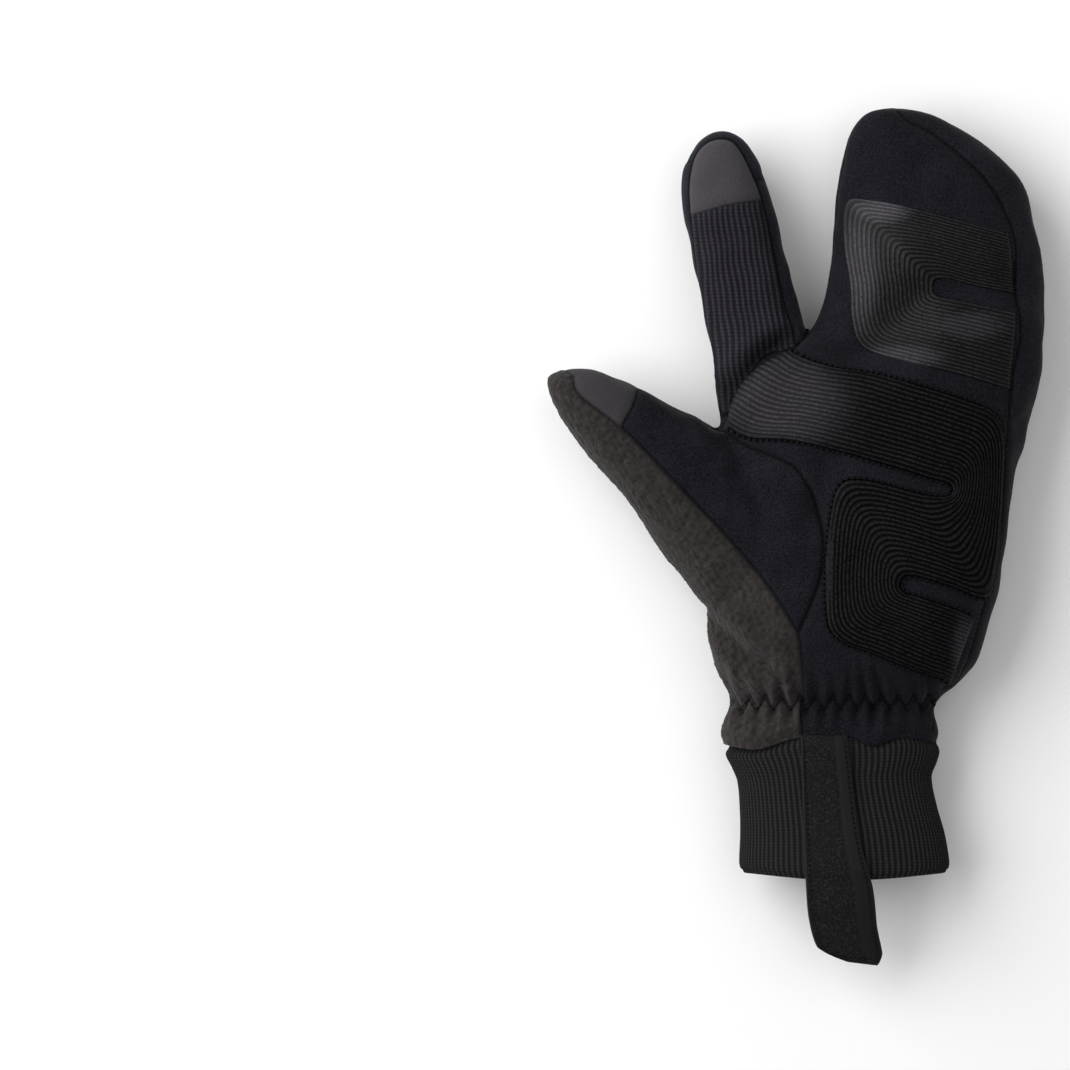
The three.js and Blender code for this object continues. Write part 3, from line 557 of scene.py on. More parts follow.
def gathered(points, normals):
    """The wrist drawn in by its elastic: lobes between the zigzag's turns, which fan out above it."""
    x, y = points[:, 0], points[:, 1]
    rise = y - hand_y(ZIGZAG_ALONG)
    wobble = 0.9 * np.sin(x / 9.0) + 0.6 * np.sin(x / 4.3 + 1.2)
    phase = x + np.where(rise > 0, 0.10 * rise + 1.6 * wobble * np.clip(rise / 12, 0, 1), 0)
    wave = np.cos(2 * math.pi * phase / ZIGZAG_PITCH) * -np.tanh(rise / 2.2)
    uneven = 1 + 0.3 * np.sin(x / 5.1 + 0.6) + 0.25 * np.sin(x / 2.9)
    reach = np.where(rise > 0, GATHER_ABOVE + 3.5 * np.sin(x / 3.7 + 2.0), GATHER_BELOW)
    fade = np.exp(-((rise / reach) ** 2))
    draw = ELASTIC_DRAW * np.exp(-((rise / ELASTIC_REACH) ** 2))
    groove = GROOVE_DEPTH * np.exp(-(((y - zigzag(x)) / GROOVE_WIDTH) ** 2))
    side = np.clip(np.abs(normals[:, 2]) * 1.6, 0, 1)
    return (PUCKER * uneven * wave * fade * side - draw - groove * side)[:, None] * normals


def folded(points, normals):
    """Valleys with soft shoulders along the fold lines, and the palm's wide dents."""
    move = np.zeros(len(points))
    for fold in FOLDS:
        near = distance_to(smooth_curve(on_hand(fold.line), 2.0), points[:, :2]) / fold.width
        facing = np.clip(normals[:, 2] * fold.side * 2.0, 0, 1)
        shoulder = FOLD_SHOULDER * np.exp(-((near - FOLD_SHOULDER_AWAY) ** 2))
        move += facing * fold.depth * (-np.exp(-(near**2)) + shoulder)
    for dent in DENTS:
        turn = math.radians(dent.turn)
        dx = points[:, 0] - hand_x(dent.across)
        dy = points[:, 1] - hand_y(dent.along)
        u = (dx * math.cos(turn) + dy * math.sin(turn)) / (dent.wide * HAND_WIDTH)
        v = (-dx * math.sin(turn) + dy * math.cos(turn)) / (dent.long * HAND_LENGTH)
        move -= np.clip(normals[:, 2], 0, 1) * dent.depth * np.exp(-(u**2) - v**2)
    return move[:, None] * normals


def rested(points):
    """Points kept above the surface that the mitt lies on, with a soft edge to the flat."""
    points = points.copy()
    points[:, 2] = (points[:, 2] + np.sqrt(points[:, 2] ** 2 + REST_ROUND**2)) / 2
    return points


# The simulation's mesh and frames, and how its moves are carried to the fine skin
SIM_QUAD = 4.5
SIM_FRAMES = 20
SIM_ROUNDS = 2
SIM_FLAT = 0.6
CARRY_FROM = 7
CARRY_REACH = 3.2


def puff_field(pattern, limit):
    """Where the cloth simulation moves the skin: coarse points and their moves, none when it is skipped."""
    points, triangles = remeshed(SIM_QUAD)
    edges = edges_of(triangles)
    points = relaxed(points, edges, SIM_ROUNDS)
    labels = pattern.labels(points)
    at_seam = labels[edges[:, 0]] != labels[edges[:, 1]]
    pinned = np.zeros(len(points), bool)
    pinned[edges[at_seam].ravel()] = True
    pinned |= (points[:, 2] < SIM_FLAT) | (labels == NOTHING)
    cloth_object = mesh_object("mitt_cloth", rested(points), triangles)
    group = cloth_object.vertex_groups.new(name="seams")
    group.add([int(i) for i in np.flatnonzero(pinned)], 1.0, "REPLACE")
    cloth = cloth_object.modifiers.new("puff", "CLOTH")
    cloth.settings.quality = 6
    cloth.settings.vertex_group_mass = "seams"
    cloth.settings.use_pressure = True
    cloth.settings.uniform_pressure_force = 3.0
    cloth.settings.effector_weights.gravity = 0.0
    cloth.settings.shrink_min = -0.035
    cloth.settings.tension_stiffness = 12.0
    cloth.settings.compression_stiffness = 12.0
    cloth.settings.bending_stiffness = 0.6
    cloth.point_cache.frame_start = 1
    cloth.point_cache.frame_end = SIM_FRAMES
    scene = bpy.context.scene
    for step in range(1, SIM_FRAMES + 1):
        scene.frame_set(step)
    graph = bpy.context.evaluated_depsgraph_get()
    swollen = cloth_object.evaluated_get(graph)
    after = np.empty(len(points) * 3)
    swollen.data.vertices.foreach_get("co", after)
    move = relaxed(after.reshape(-1, 3) / MM - rested(points), edges, SIM_ROUNDS)
    bpy.data.objects.remove(cloth_object)
    scene.frame_set(1)
    length = np.linalg.norm(move, axis=1)[:, None]
    return points, move * limit * np.tanh(length / limit) / np.maximum(length, 1e-6)


def carried(points, coarse, moves):
    """Moves of the coarse points, blended to a finer mesh from its nearest ones."""
    tree = tree_of(coarse)
    result = np.zeros_like(points)
    for i, place in enumerate(points):
        found = tree.find_n(place, CARRY_FROM)
        weights = np.array([math.exp(-((hit[2] / CARRY_REACH) ** 2)) for hit in found]) + 1e-9
        result[i] = (moves[[hit[1] for hit in found]] * weights[:, None]).sum(axis=0) / weights.sum()
    return result


def tree_of(points):
    tree = KDTree(len(points))
    for i, place in enumerate(points):
        tree.insert(place, i)
    tree.balance()
    return tree


BORDER_HALVINGS = 9
BORDER_MARGIN = 0.04


def numbered(edges, first):
    """A lookup of each edge's number, from first on, by its two ends in either order."""
    index = {(int(a), int(b)): first + i for i, (a, b) in enumerate(edges)}
    return lambda a, b: index[(a, b) if a < b else (b, a)]


def split_by_panel(points, places, triangles, pattern):
    """Cuts triangles along the panel borders, which are read at places, a smoother copy of the points.

    Returns the points, the triangles, their panels and the numbers of the border's points.
    """
    labels = pattern.labels(places)
    edges = edges_of(triangles)
    crossing = edges[labels[edges[:, 0]] != labels[edges[:, 1]]]
    low, high = np.zeros(len(crossing)), np.ones(len(crossing))
    start, end = places[crossing[:, 0]], places[crossing[:, 1]]
    first = labels[crossing[:, 0]]
    for _ in range(BORDER_HALVINGS):
        middle = (low + high) / 2
        same = pattern.labels(start + (end - start) * middle[:, None]) == first
        low, high = np.where(same, middle, low), np.where(same, high, middle)
    share = np.clip((low + high) / 2, BORDER_MARGIN, 1 - BORDER_MARGIN)
    start, end = points[crossing[:, 0]], points[crossing[:, 1]]
    cuts = start + (end - start) * share[:, None]
    cut = numbered(crossing, len(points))
    hubs, new_triangles, new_labels = [], [], []
    corner = labels[triangles]
    whole = (corner[:, 0] == corner[:, 1]) & (corner[:, 1] == corner[:, 2])
    for triangle in triangles[~whole]:
        a, b, c = (int(v) for v in triangle)
        la, lb, lc = labels[a], labels[b], labels[c]
        if la != lb and lb != lc and lc != la:
            hub = len(points) + len(cuts) + len(hubs)
            hubs.append((points[a] + points[b] + points[c]) / 3)
            ab, bc, ca = cut(a, b), cut(b, c), cut(c, a)
            new_triangles += [(a, ab, hub), (a, hub, ca), (b, bc, hub)]
            new_triangles += [(b, hub, ab), (c, ca, hub), (c, hub, bc)]
            new_labels += [la, la, lb, lb, lc, lc]
            continue
        if la == lb:
            a, b, c = c, a, b
        elif la == lc:
            a, b, c = b, c, a
        ab, ca = cut(a, b), cut(c, a)
        new_triangles += [(a, ab, ca), (ab, b, c), (ab, c, ca)]
        new_labels += [labels[a], labels[b], labels[b]]
    everything = np.vstack([points, cuts, np.array(hubs).reshape(-1, 3)])
    seam_points = np.arange(len(points), len(everything))
    all_triangles = np.vstack([triangles[whole], np.array(new_triangles)])
    all_labels = np.concatenate([corner[whole, 0], np.array(new_labels)])
    return everything, all_triangles, all_labels, seam_points


# The skin's mesh, and how it turns in at its seams, at the cuff and at the elastic, in millimetres
SKIN_QUAD = 1.0
FORM_ROUNDS = 6
PUFF_ROUNDS = 4
SEAM_ROUNDS = 16
SEAM_WIDTH = 1.7
SEAM_LINE = 0.7
SEAM_START = 5.0
LIP_DRAW = 1.5
LIP_REACH = 2.2
# Painted shade along the elastic: how fast it fades from the zigzag, and how far from a seam its darkest line
# reads
ELASTIC_SLOPE = 0.8
ELASTIC_SHADE = 0.35


class Skin:
    """The mitt's whole outer skin, shaped and cut into panels."""

    def __init__(self, wall, seam_depth, puff):
        pattern = Pattern()
        self.wall = wall
        points, triangles = remeshed(SKIN_QUAD)
        edges = edges_of(triangles)
        points = relaxed(points, edges, FORM_ROUNDS)
        points = points + carried(points, *puff_field(pattern, puff))
        points = relaxed(points, edges, PUFF_ROUNDS)
        smooth = relaxed(points, edges, SEAM_ROUNDS)
        points, triangles, labels, seam_points = split_by_panel(points, smooth, triangles, pattern)
        seam_points = seam_points[points[seam_points, 1] > CUFF_START + SEAM_START]
        base = points
        base_normals = normals_of(points, triangles)
        seams = tree_of(points[seam_points])
        # Each point's distance from the nearest seam, which shapes the seams' valleys and tells the finishes
        # where to paint shade
        self.away = np.array([seams.find(place)[2] for place in points])
        above_cuff = points[:, 1] - np.interp(points[:, 0], pattern.cuff_seam[:, 0], pattern.cuff_seam[:, 1])
        lip = LIP_DRAW * np.exp(-((above_cuff / LIP_REACH) ** 2))
        points = points + folded(points, base_normals)
        points = points + gathered(points, base_normals)
        valley = seam_depth * (0.25 + 0.75 * np.clip(np.abs(base_normals[:, 2]) * 1.3, 0, 1)) * (
            0.65 * np.exp(-((self.away / SEAM_WIDTH) ** 2)) + 0.35 * np.exp(-((self.away / SEAM_LINE) ** 2)))
        # The elastic's zigzag reads as a seam too, so that shade is painted along it
        elastic = np.abs(points[:, 1] - zigzag(points[:, 0])) * ELASTIC_SLOPE + ELASTIC_SHADE
        self.away = np.minimum(self.away, elastic)
        points = points - (valley + lip)[:, None] * normals_of(points, triangles)
        self.points = rested(points)
        sunk = np.minimum(((self.points - base) * base_normals).sum(axis=1), 0)
        self.lining = rested(base) + (sunk - wall)[:, None] * base_normals
        self.triangles = triangles
        self.labels = labels
        self.normals = normals_of(self.points, triangles)
        self.tree = BVHTree.FromPolygons(self.points.tolist(), triangles[labels != NOTHING].tolist())

    def panel(self, name):
        """One panel's own points, its lining's points, triangles, normals and distance from its seams."""
        mine = self.triangles[self.labels == PANELS.index(name)]
        used, flat = np.unique(mine, return_inverse=True)
        return self.points[used], self.lining[used], flat.reshape(-1, 3), self.normals[used], self.away[used]

    def facing(self, x, y, start, way, fallback):
        """The place and normal that a ray from start's height meets, or the ones nearest to the fallback."""
        hit, normal, _, _ = self.tree.ray_cast(Vector((x, y, start)), Vector((0, 0, way)))
        if hit is None:
            hit, normal, _, _ = self.tree.find_nearest(Vector((x, y, fallback)))
        return np.array(hit), np.array(normal)

    def on_top(self, x, y):
        """The place and normal of the palm side at x, y."""
        return self.facing(x, y, FAR_ABOVE, -1, HAND_THICKNESS / 2)

    def underneath(self, x, y):
        """The place and normal of the back at x, y."""
        return self.facing(x, y, -FAR_ABOVE, 1, 0.0)


def border_edges(triangles):
    """Directed border edges of a sheet of triangles."""
    directed = np.vstack([triangles[:, [0, 1]], triangles[:, [1, 2]], triangles[:, [2, 0]]])
    known = {(int(a), int(b)) for a, b in directed}
    return sorted((a, b) for a, b in known if (b, a) not in known)


def finer(points, triangles, values, rims):
    """Each triangle in four. values are carried along, and rims lists the points along each border edge."""
    edges = edges_of(triangles)
    middle = numbered(edges, len(points))
    new_points = np.vstack([points, (points[edges[:, 0]] + points[edges[:, 1]]) / 2])
    new_values = np.concatenate([values, (values[edges[:, 0]] + values[edges[:, 1]]) / 2])
    split = []
    for a, b, c in triangles.tolist():
        ab, bc, ca = middle(a, b), middle(b, c), middle(c, a)
        split += [(a, ab, ca), (ab, b, bc), (ca, bc, c), (ab, bc, ca)]
    new_rims = {}
    for edge, chain in rims.items():
        longer = [chain[0]]
        for a, b in zip(chain[:-1], chain[1:]):
            longer += [middle(a, b), b]
        new_rims[edge] = longer
    return new_points, np.array(split), new_values, new_rims


def piece_object(name, points, faces, **values):
    """A smooth piece, with a number at each point for each value that its finish reads."""
    made = mesh_object(name, points, faces)
    for each, numbers in values.items():
        attribute = made.data.attributes.new(each, "FLOAT", "POINT")
        attribute.data.foreach_set("value", np.asarray(numbers, float))
    made.data.shade_smooth()
    return made


# The lining stays this share of the wall above the floor, and reads as this far from any seam
LINING_LIFT = 0.6
LINING_AWAY = 5.0

# How far from a seam a relief and its smoothing reach full strength, in millimetres
RELIEF_EDGE = 1.5
REFINE_EDGE = 0.6


def panel_object(skin, name, refine, relief):
    """A panel as a closed padded wall: its outer skin, refined where it has a relief, and a plain lining."""
    points, lining, triangles, normals, away = skin.panel(name)
    rims = {edge: list(edge) for edge in border_edges(triangles)}
    coarse_triangles = triangles
    outer = points
    for _ in range(refine):
        outer, triangles, away, rims = finer(outer, triangles, away, rims)
    if refine:
        outer = relaxed(outer, edges_of(triangles), 1, hold=np.clip(away / REFINE_EDGE, 0, 1)[:, None])
        normals = normals_of(outer, triangles)
    rib = np.ones(len(outer))
    if relief is not None:
        height, rib = relief(outer, away)
        outer = outer + height[:, None] * normals
        outer[:, 2] = np.maximum(outer[:, 2], 0)
    lining = lining.copy()
    lining[:, 2] = np.maximum(lining[:, 2], skin.wall * LINING_LIFT)
    start = len(outer)
    faces = [tuple(t) for t in triangles.tolist()]
    faces += [(c + start, b + start, a + start) for a, b, c in coarse_triangles.tolist()]
    faces += [tuple(reversed(chain)) + (edge[0] + start, edge[1] + start) for edge, chain in rims.items()]
    return piece_object(
        name + "_cloth", np.vstack([outer, lining]), faces,
        seam=np.concatenate([away, np.full(len(lining), LINING_AWAY)]),
        rib=np.concatenate([rib, np.ones(len(lining))]))


# Relief of the ribbed and napped panels

RIB_PANEL_PITCH = 2.15
RIB_PANEL_HEIGHT = 0.22
FLEECE_HEIGHT = 0.2
LUMP_WAVES = 14


def lumps(places, size, seed):
    """Smooth random field of about that lump size, from sums of turned waves."""
    draw = np.random.default_rng(seed)
    total = np.zeros(len(places))
    for _ in range(LUMP_WAVES):
        direction = draw.normal(size=3)
        direction /= np.linalg.norm(direction)
        length = size * draw.uniform(0.8, 1.7)
        total += np.sin(places @ direction * (2 * math.pi / length) + draw.uniform(0, 2 * math.pi))
    return total / LUMP_WAVES**0.5


def rib_panel_relief(points, away):
    """Knitted ribs that run along the finger, a little uneven."""
    ends = [hand_y(0.52), hand_y(0.85)]
    axis = np.interp(points[:, 1], ends, [hand_x(-0.34), hand_x(-0.425)])
    spread = np.interp(points[:, 1], ends, [1.12, 0.94])
    wander = 0.22 * lumps(points, 12.0, SEED + 5)
    wave = np.cos(2 * math.pi * ((points[:, 0] - axis) / spread + wander) / RIB_PANEL_PITCH)
    worn = 0.8 + 0.2 * lumps(points, 7.0, SEED + 6)
    # Its second value marks the ribs' crests and gaps, where the finish paints light and shade
    return RIB_PANEL_HEIGHT * wave * worn * np.clip(away / RELIEF_EDGE, 0, 1), 0.5 + 0.5 * wave


def fleece_relief(points, away):
    """Nap of the fleece: short tufts, 1 to 3 mm across."""
    tufts = 0.35 * lumps(points, 3.2, SEED) + 0.5 * lumps(points, 1.9, SEED + 1)
    tufts += 0.3 * lumps(points, 1.2, SEED + 2)
    # Its second value follows the tufts' height, so the finish paints shade between the tufts and light on
    # their tops
    return FLEECE_HEIGHT * tufts * np.clip(away / RELIEF_EDGE, 0, 1), np.clip(0.5 + 0.3 * tufts, 0, 1)


# Grip patches

CrossBar = namedtuple("CrossBar", "inner_across inner_along outer_across outer_along")

# The palm patch is one ribbed band that turns twice, from the crease under the index finger on. Each bar
# crosses it, from the side of the upper slot and the left and bottom edges (inner) to the side of the top and
# right edges and the lower slot (outer).
PALM_BAND = rows_of(CrossBar, [
    (-0.43, 0.497, -0.238, 0.617), (-0.356, 0.48, -0.186, 0.603),
    (-0.235, 0.477, -0.103, 0.59), (-0.094, 0.461, 0.006, 0.582),
    (0.006, 0.446, 0.088, 0.573), (0.11, 0.431, 0.175, 0.561),
    (0.19, 0.418, 0.3, 0.541), (0.24, 0.412, 0.388, 0.523),
    (0.261, 0.405, 0.424, 0.492), (0.262, 0.396, 0.426, 0.425),
    (0.246, 0.39, 0.419, 0.355), (0.205, 0.391, 0.404, 0.282),
    (0.145, 0.397, 0.372, 0.232), (0.065, 0.408, 0.262, 0.248),
    (-0.01, 0.416, 0.176, 0.262), (-0.07, 0.414, 0.133, 0.266),
    (-0.102, 0.39, 0.112, 0.262), (-0.122, 0.33, 0.104, 0.254),
    (-0.131, 0.25, 0.106, 0.246), (-0.122, 0.188, 0.122, 0.24),
    (-0.075, 0.163, 0.15, 0.236), (0.01, 0.147, 0.2, 0.228),
    (0.12, 0.124, 0.268, 0.216), (0.268, 0.099, 0.335, 0.202),
])

# The pocket patch is a band round its one slot, open towards the outer edge
POCKET_BAND = rows_of(CrossBar, [
    (0.466, 0.706, 0.446, 0.799), (0.34, 0.718, 0.31, 0.818),
    (0.26, 0.729, 0.16, 0.838), (0.222, 0.729, 0.03, 0.852),
    (0.211, 0.725, -0.058, 0.852), (0.208, 0.72, -0.068, 0.79),
    (0.208, 0.714, -0.05, 0.72), (0.211, 0.708, -0.044, 0.664),
    (0.222, 0.703, -0.01, 0.622), (0.26, 0.698, 0.12, 0.6),
    (0.34, 0.69, 0.29, 0.579), (0.466, 0.676, 0.45, 0.556),
])

Worn = namedtuple("Worn", "across along wide long amount")

# Spots of painted sheen on the patches, where their colour is made paler as if the silicone caught the light,
# on the palm band's start also standing for wear: middle and half reaches in shares, and how much
PALM_WEAR_AND_SHEEN = [Worn(-0.25, 0.535, 0.18, 0.075, 1.0), Worn(0.302, 0.152, 0.04, 0.05, 1.0)]
POCKET_SHEEN = [
    Worn(0.05, 0.838, 0.085, 0.022, 1.0), Worn(-0.02, 0.74, 0.055, 0.09, 0.6),
    Worn(0.12, 0.606, 0.12, 0.018, 0.6), Worn(0.33, 0.655, 0.1, 0.02, 0.4),
]

# Where the palm patch has no ribs: the smooth roll along its left edge
PALM_ROLL = [Worn(-0.136, 0.295, 0.044, 0.105, 1.0)]

Patch = namedtuple("Patch", "name bars ribs thickness rib_height bevel nose worn smooth")

# Thickness, rib height, bevel and nose are in millimetres. The nose is how far the first end bulges out.
PALM_PATCH = Patch("palm_grip_patch", PALM_BAND, 19, 1.9, 0.32, 3.4, 6.5, PALM_WEAR_AND_SHEEN, PALM_ROLL)
POCKET_PATCH = Patch("pocket_grip_patch", POCKET_BAND, 19, 0.22, 0.28, 0.8, 0.0, POCKET_SHEEN, [])
NOSE_REACH = 14.0
RIB_SAMPLES = 6
PATCH_STEP = 0.85
PATCH_LIFT = 0.15
PATCH_ROOT = 1.2
PATCH_ROUNDS = 6


def band_grid(bars, ribs, nose):
    """Places of a ribbed band: rows along it at even steps, columns across it at equal shares."""
    rows = smooth_curve(on_hand_bars(bars), PATCH_STEP)
    middle = (rows[:, :2] + rows[:, 2:]) / 2
    lengths = np.concatenate([[0], np.cumsum(np.linalg.norm(np.diff(middle, axis=0), axis=1))])
    places = np.linspace(0, lengths[-1], int(lengths[-1] / PATCH_STEP))
    rows = np.stack([np.interp(places, lengths, rows[:, k]) for k in range(4)], axis=1)
    v = np.linspace(0, 1, ribs * RIB_SAMPLES + 1)
    grid = rows[:, None, :2] * (1 - v)[None, :, None] + rows[:, None, 2:] * v[None, :, None]
    back = grid[0] - grid[4]
    back /= np.linalg.norm(back, axis=1)[:, None]
    bulge = nose * (4 * v * (1 - v))[None, :] * np.clip(1 - places / NOSE_REACH, 0, 1)[:, None] ** 2
    return grid + back[None, :, :] * bulge[..., None], v, places


def on_hand_bars(bars):
    """Each bar's inner and outer end, in millimetres."""
    bars = np.array(bars)
    return np.hstack([on_hand(bars[:, :2]), on_hand(bars[:, 2:])])


def patch_object(skin, patch):
    """A patch on the palm side: a ribbed, crowned top on a rim, closed below."""
    grid, v, along = band_grid(patch.bars, patch.ribs, patch.nose)
    rows, columns = grid.shape[:2]
    widths = np.linalg.norm(grid[:, -1] - grid[:, 0], axis=1)
    edge = np.minimum(v[None, :], 1 - v[None, :]) * widths[:, None]
    ends = np.minimum(along, along[-1] - along)[:, None]
    near = np.minimum(edge, ends)
    rise = patch.thickness * np.sqrt(1 - (1 - np.clip(near / patch.bevel, 0, 1)) ** 2)
    rib = np.tile(1 - (0.5 + 0.5 * np.cos(2 * math.pi * v * patch.ribs)) ** 3, (rows, 1))
    rib = np.maximum(rib, spotted(grid, patch.smooth))
    height = rise + patch.rib_height * rib * np.clip(near / (0.6 * patch.bevel), 0, 1)
    ground = np.array([[skin.on_top(*place)[0] for place in row] for row in grid])
    for _ in range(PATCH_ROUNDS):
        mean = (ground[:-2, 1:-1] + ground[2:, 1:-1] + ground[1:-1, :-2] + ground[1:-1, 2:]) / 4
        ground[1:-1, 1:-1, 2] += 0.6 * (mean[..., 2] - ground[1:-1, 1:-1, 2])
    up = np.cross(np.gradient(ground, axis=0), np.gradient(ground, axis=1))
    up *= np.sign(up[..., 2:3])
    up /= np.maximum(np.linalg.norm(up, axis=2, keepdims=True), 1e-9)
    top = ground + up * (height + PATCH_LIFT)[..., None]
    below = ground[:, ::RIB_SAMPLES] - up[:, ::RIB_SAMPLES] * PATCH_ROOT
    points = np.vstack([top.reshape(-1, 3), below.reshape(-1, 3)])
    hidden = np.zeros(below.size // 3)
    return piece_object(
        patch.name + "_ribs", points, slab_faces(rows, columns, below.shape[1], points),
        # The ribs' crests and grooves, where the finish paints light and shade
        rib=np.concatenate([rib.ravel(), hidden]),
        # Spots of painted sheen, which the grip's finish paints paler
        worn=np.concatenate([spotted(grid, patch.worn).ravel(), hidden]))


def spotted(grid, spots):
    """How strongly each place of a grid lies in any of the spots, from 0 to 1."""
    amount = np.zeros(grid.shape[:2])
    for spot in spots:
        u = (grid[..., 0] - hand_x(spot.across)) / (spot.wide * HAND_WIDTH)
        w = (grid[..., 1] - hand_y(spot.along)) / (spot.long * HAND_LENGTH)
        amount = np.maximum(amount, spot.amount * np.exp(-((u**2 + w**2) ** 2)))
    return amount


def slab_faces(rows, columns, lower_columns, points):
    """Faces of a closed slab whose top has columns points a row, and whose bottom has fewer."""
    step = (columns - 1) // (lower_columns - 1)
    base = rows * columns
    faces = [tuple(face) for face in grid_faces(rows, columns, around=False)]
    faces += [(a, d, c, b) for a, b, c, d in grid_faces(rows, lower_columns, base, around=False)]
    for i in range(rows - 1):
        a, b = i * columns, base + i * lower_columns
        faces.append((a, a + columns, b + lower_columns, b))
        a, b = a + columns - 1, b + lower_columns - 1
        faces.append((a, b, b + lower_columns, a + columns))
    for row in (0, rows - 1):
        for k in range(lower_columns - 1):
            upper = [row * columns + k * step + j for j in range(step + 1)]
            lower = [base + row * lower_columns + k + 1, base + row * lower_columns + k]
            loop = upper + lower
            faces.append(tuple(loop if row else loop[::-1]))
    a, b, c = (points[v] for v in faces[0][:3])
    if np.cross(b - a, c - a)[2] < 0:
        faces = [face[::-1] for face in faces]
    return faces


# Thread, cord and piping

STITCH_SIDES = 6
STITCH_RINGS = 5
CORD_SIDES = 12

# The piping's points are this far apart. It sits this deep in the cloth and this far above the floor.
PIPING_STEP = 0.8
PIPING_SINK = 0.1
PIPING_CLEAR = 0.02


def stitch(start, end, radius, up):
    """Points and faces of one stitch: a short thread that dips at both ends."""
    sides, rings = STITCH_SIDES, STITCH_RINGS
    axis = end - start
    length = np.linalg.norm(axis)
    axis = axis / length
    side = np.cross(axis, up)
    side /= np.linalg.norm(side)
    lift = np.cross(side, axis)
    points = []
    for s in np.linspace(0, 1, rings):
        size = radius * math.sqrt(max(1 - (2 * s - 1) ** 4, 0.05))
        middle = start + axis * length * s + lift * radius * (math.sin(math.pi * s) * 0.9 - 0.5)
        for k in range(sides):
            angle = 2 * math.pi * k / sides
            points.append(middle + side * size * math.cos(angle) + lift * size * math.sin(angle))
    caps = [tuple(range(sides))[::-1], tuple(range((rings - 1) * sides, rings * sides))]
    return points, grid_faces(rings, sides) + caps


def stitches_object(name, runs, radius):
    """All stitches of a run as one piece. Each stitch is (start, end, up)."""
    points, faces = [], []
    for start, end, up in runs:
        more, walls = stitch(np.array(start), np.array(end), radius, np.array(up))
        faces += [tuple(v + len(points) for v in face) for face in walls]
        points += more
    return piece_object(name, points, faces)


Stitch = namedtuple("Stitch", "pitch share lift radius")

# Pitch, lift and the thread's radius are in millimetres, share is how much of the pitch the thread shows
PATCH_STITCH = Stitch(2.2, 0.5, 0.45, 0.6)
ELASTIC_STITCH = Stitch(1.5, 0.7, 0.08, 0.2)
STRIP_STITCH = Stitch(1.9, 0.6, 0.08, 0.2)
TAB_STITCH = Stitch(1.9, 0.6, 0.1, 0.3)

# Where they run: outside the palm patch's edge, in from the side strip's seam, both in millimetres, and
# along the elastic, between two shares of the hand's width
PATCH_STITCH_OUT = 0.5
STRIP_STITCH_IN = 1.3
ELASTIC_RUN = (-0.40, 0.245)
ZIGZAG_POINTS = 24

# On the tab's grid: two lines at shares of its width, from one row on, and one line across, so many rows
# from the end and columns from the sides
TAB_STITCH_LINES = (0.17, 0.83)
TAB_STITCH_START = 3
TAB_STITCH_END = 9
TAB_STITCH_SIDE = 4


def stitches_along(line, surface, kind):
    """Stitches along a plane line, laid on a surface."""
    spots = evenly(line, kind.pitch)
    runs = []
    for a, b in zip(spots[:-1], spots[1:]):
        start_place, up = surface(*a)
        end_place, _ = surface(*(a + (b - a) * kind.share))
        runs.append((start_place + up * kind.lift, end_place + up * kind.lift, up))
    return runs


def cord_object(name, centre, ups, radius):
    """A closed round cord along a line of places."""
    tangents = np.gradient(centre, axis=0)
    tangents /= np.linalg.norm(tangents, axis=1)[:, None]
    side = np.cross(tangents, ups)
    side /= np.linalg.norm(side, axis=1)[:, None]
    lift = np.cross(side, tangents)
    angle = np.linspace(0, 2 * math.pi, CORD_SIDES, endpoint=False)
    rings = centre[:, None, :] + radius * (
        side[:, None, :] * np.cos(angle)[None, :, None] + lift[:, None, :] * np.sin(angle)[None, :, None])
    return piece_object(name, *tube(rings))


# Knit cuff

# Lengths are in millimetres, apart from the part hidden in the sleeve, a share of the seen length.
# Squareness is the power of the section's rounded form.
CUFF_RIB_SAMPLES = 8
CUFF_RIB_HEIGHT = 0.17
CUFF_WALL = 2.3
CUFF_BOW = 2.2
CUFF_TUCK = 1.9
CUFF_TUCK_REACH = 2.4
CUFF_ROUND = 1.5
CUFF_ROUND_REACH = 4.0
CUFF_HIDDEN = 0.13
CUFF_SQUARENESS = 2.1
CUFF_HIDDEN_TUCK = 1.1
CUFF_LINING_TUCK = 2.0
CUFF_HEM_ROOM = 4.2
CUFF_WAVE = 0.5
CUFF_LIFT = 0.05
CUFF_TUCK_RINGS = 8
CUFF_OUTSIDE_RINGS = 66
CUFF_HEM_RINGS = 7
CUFF_LINING_RINGS = 18


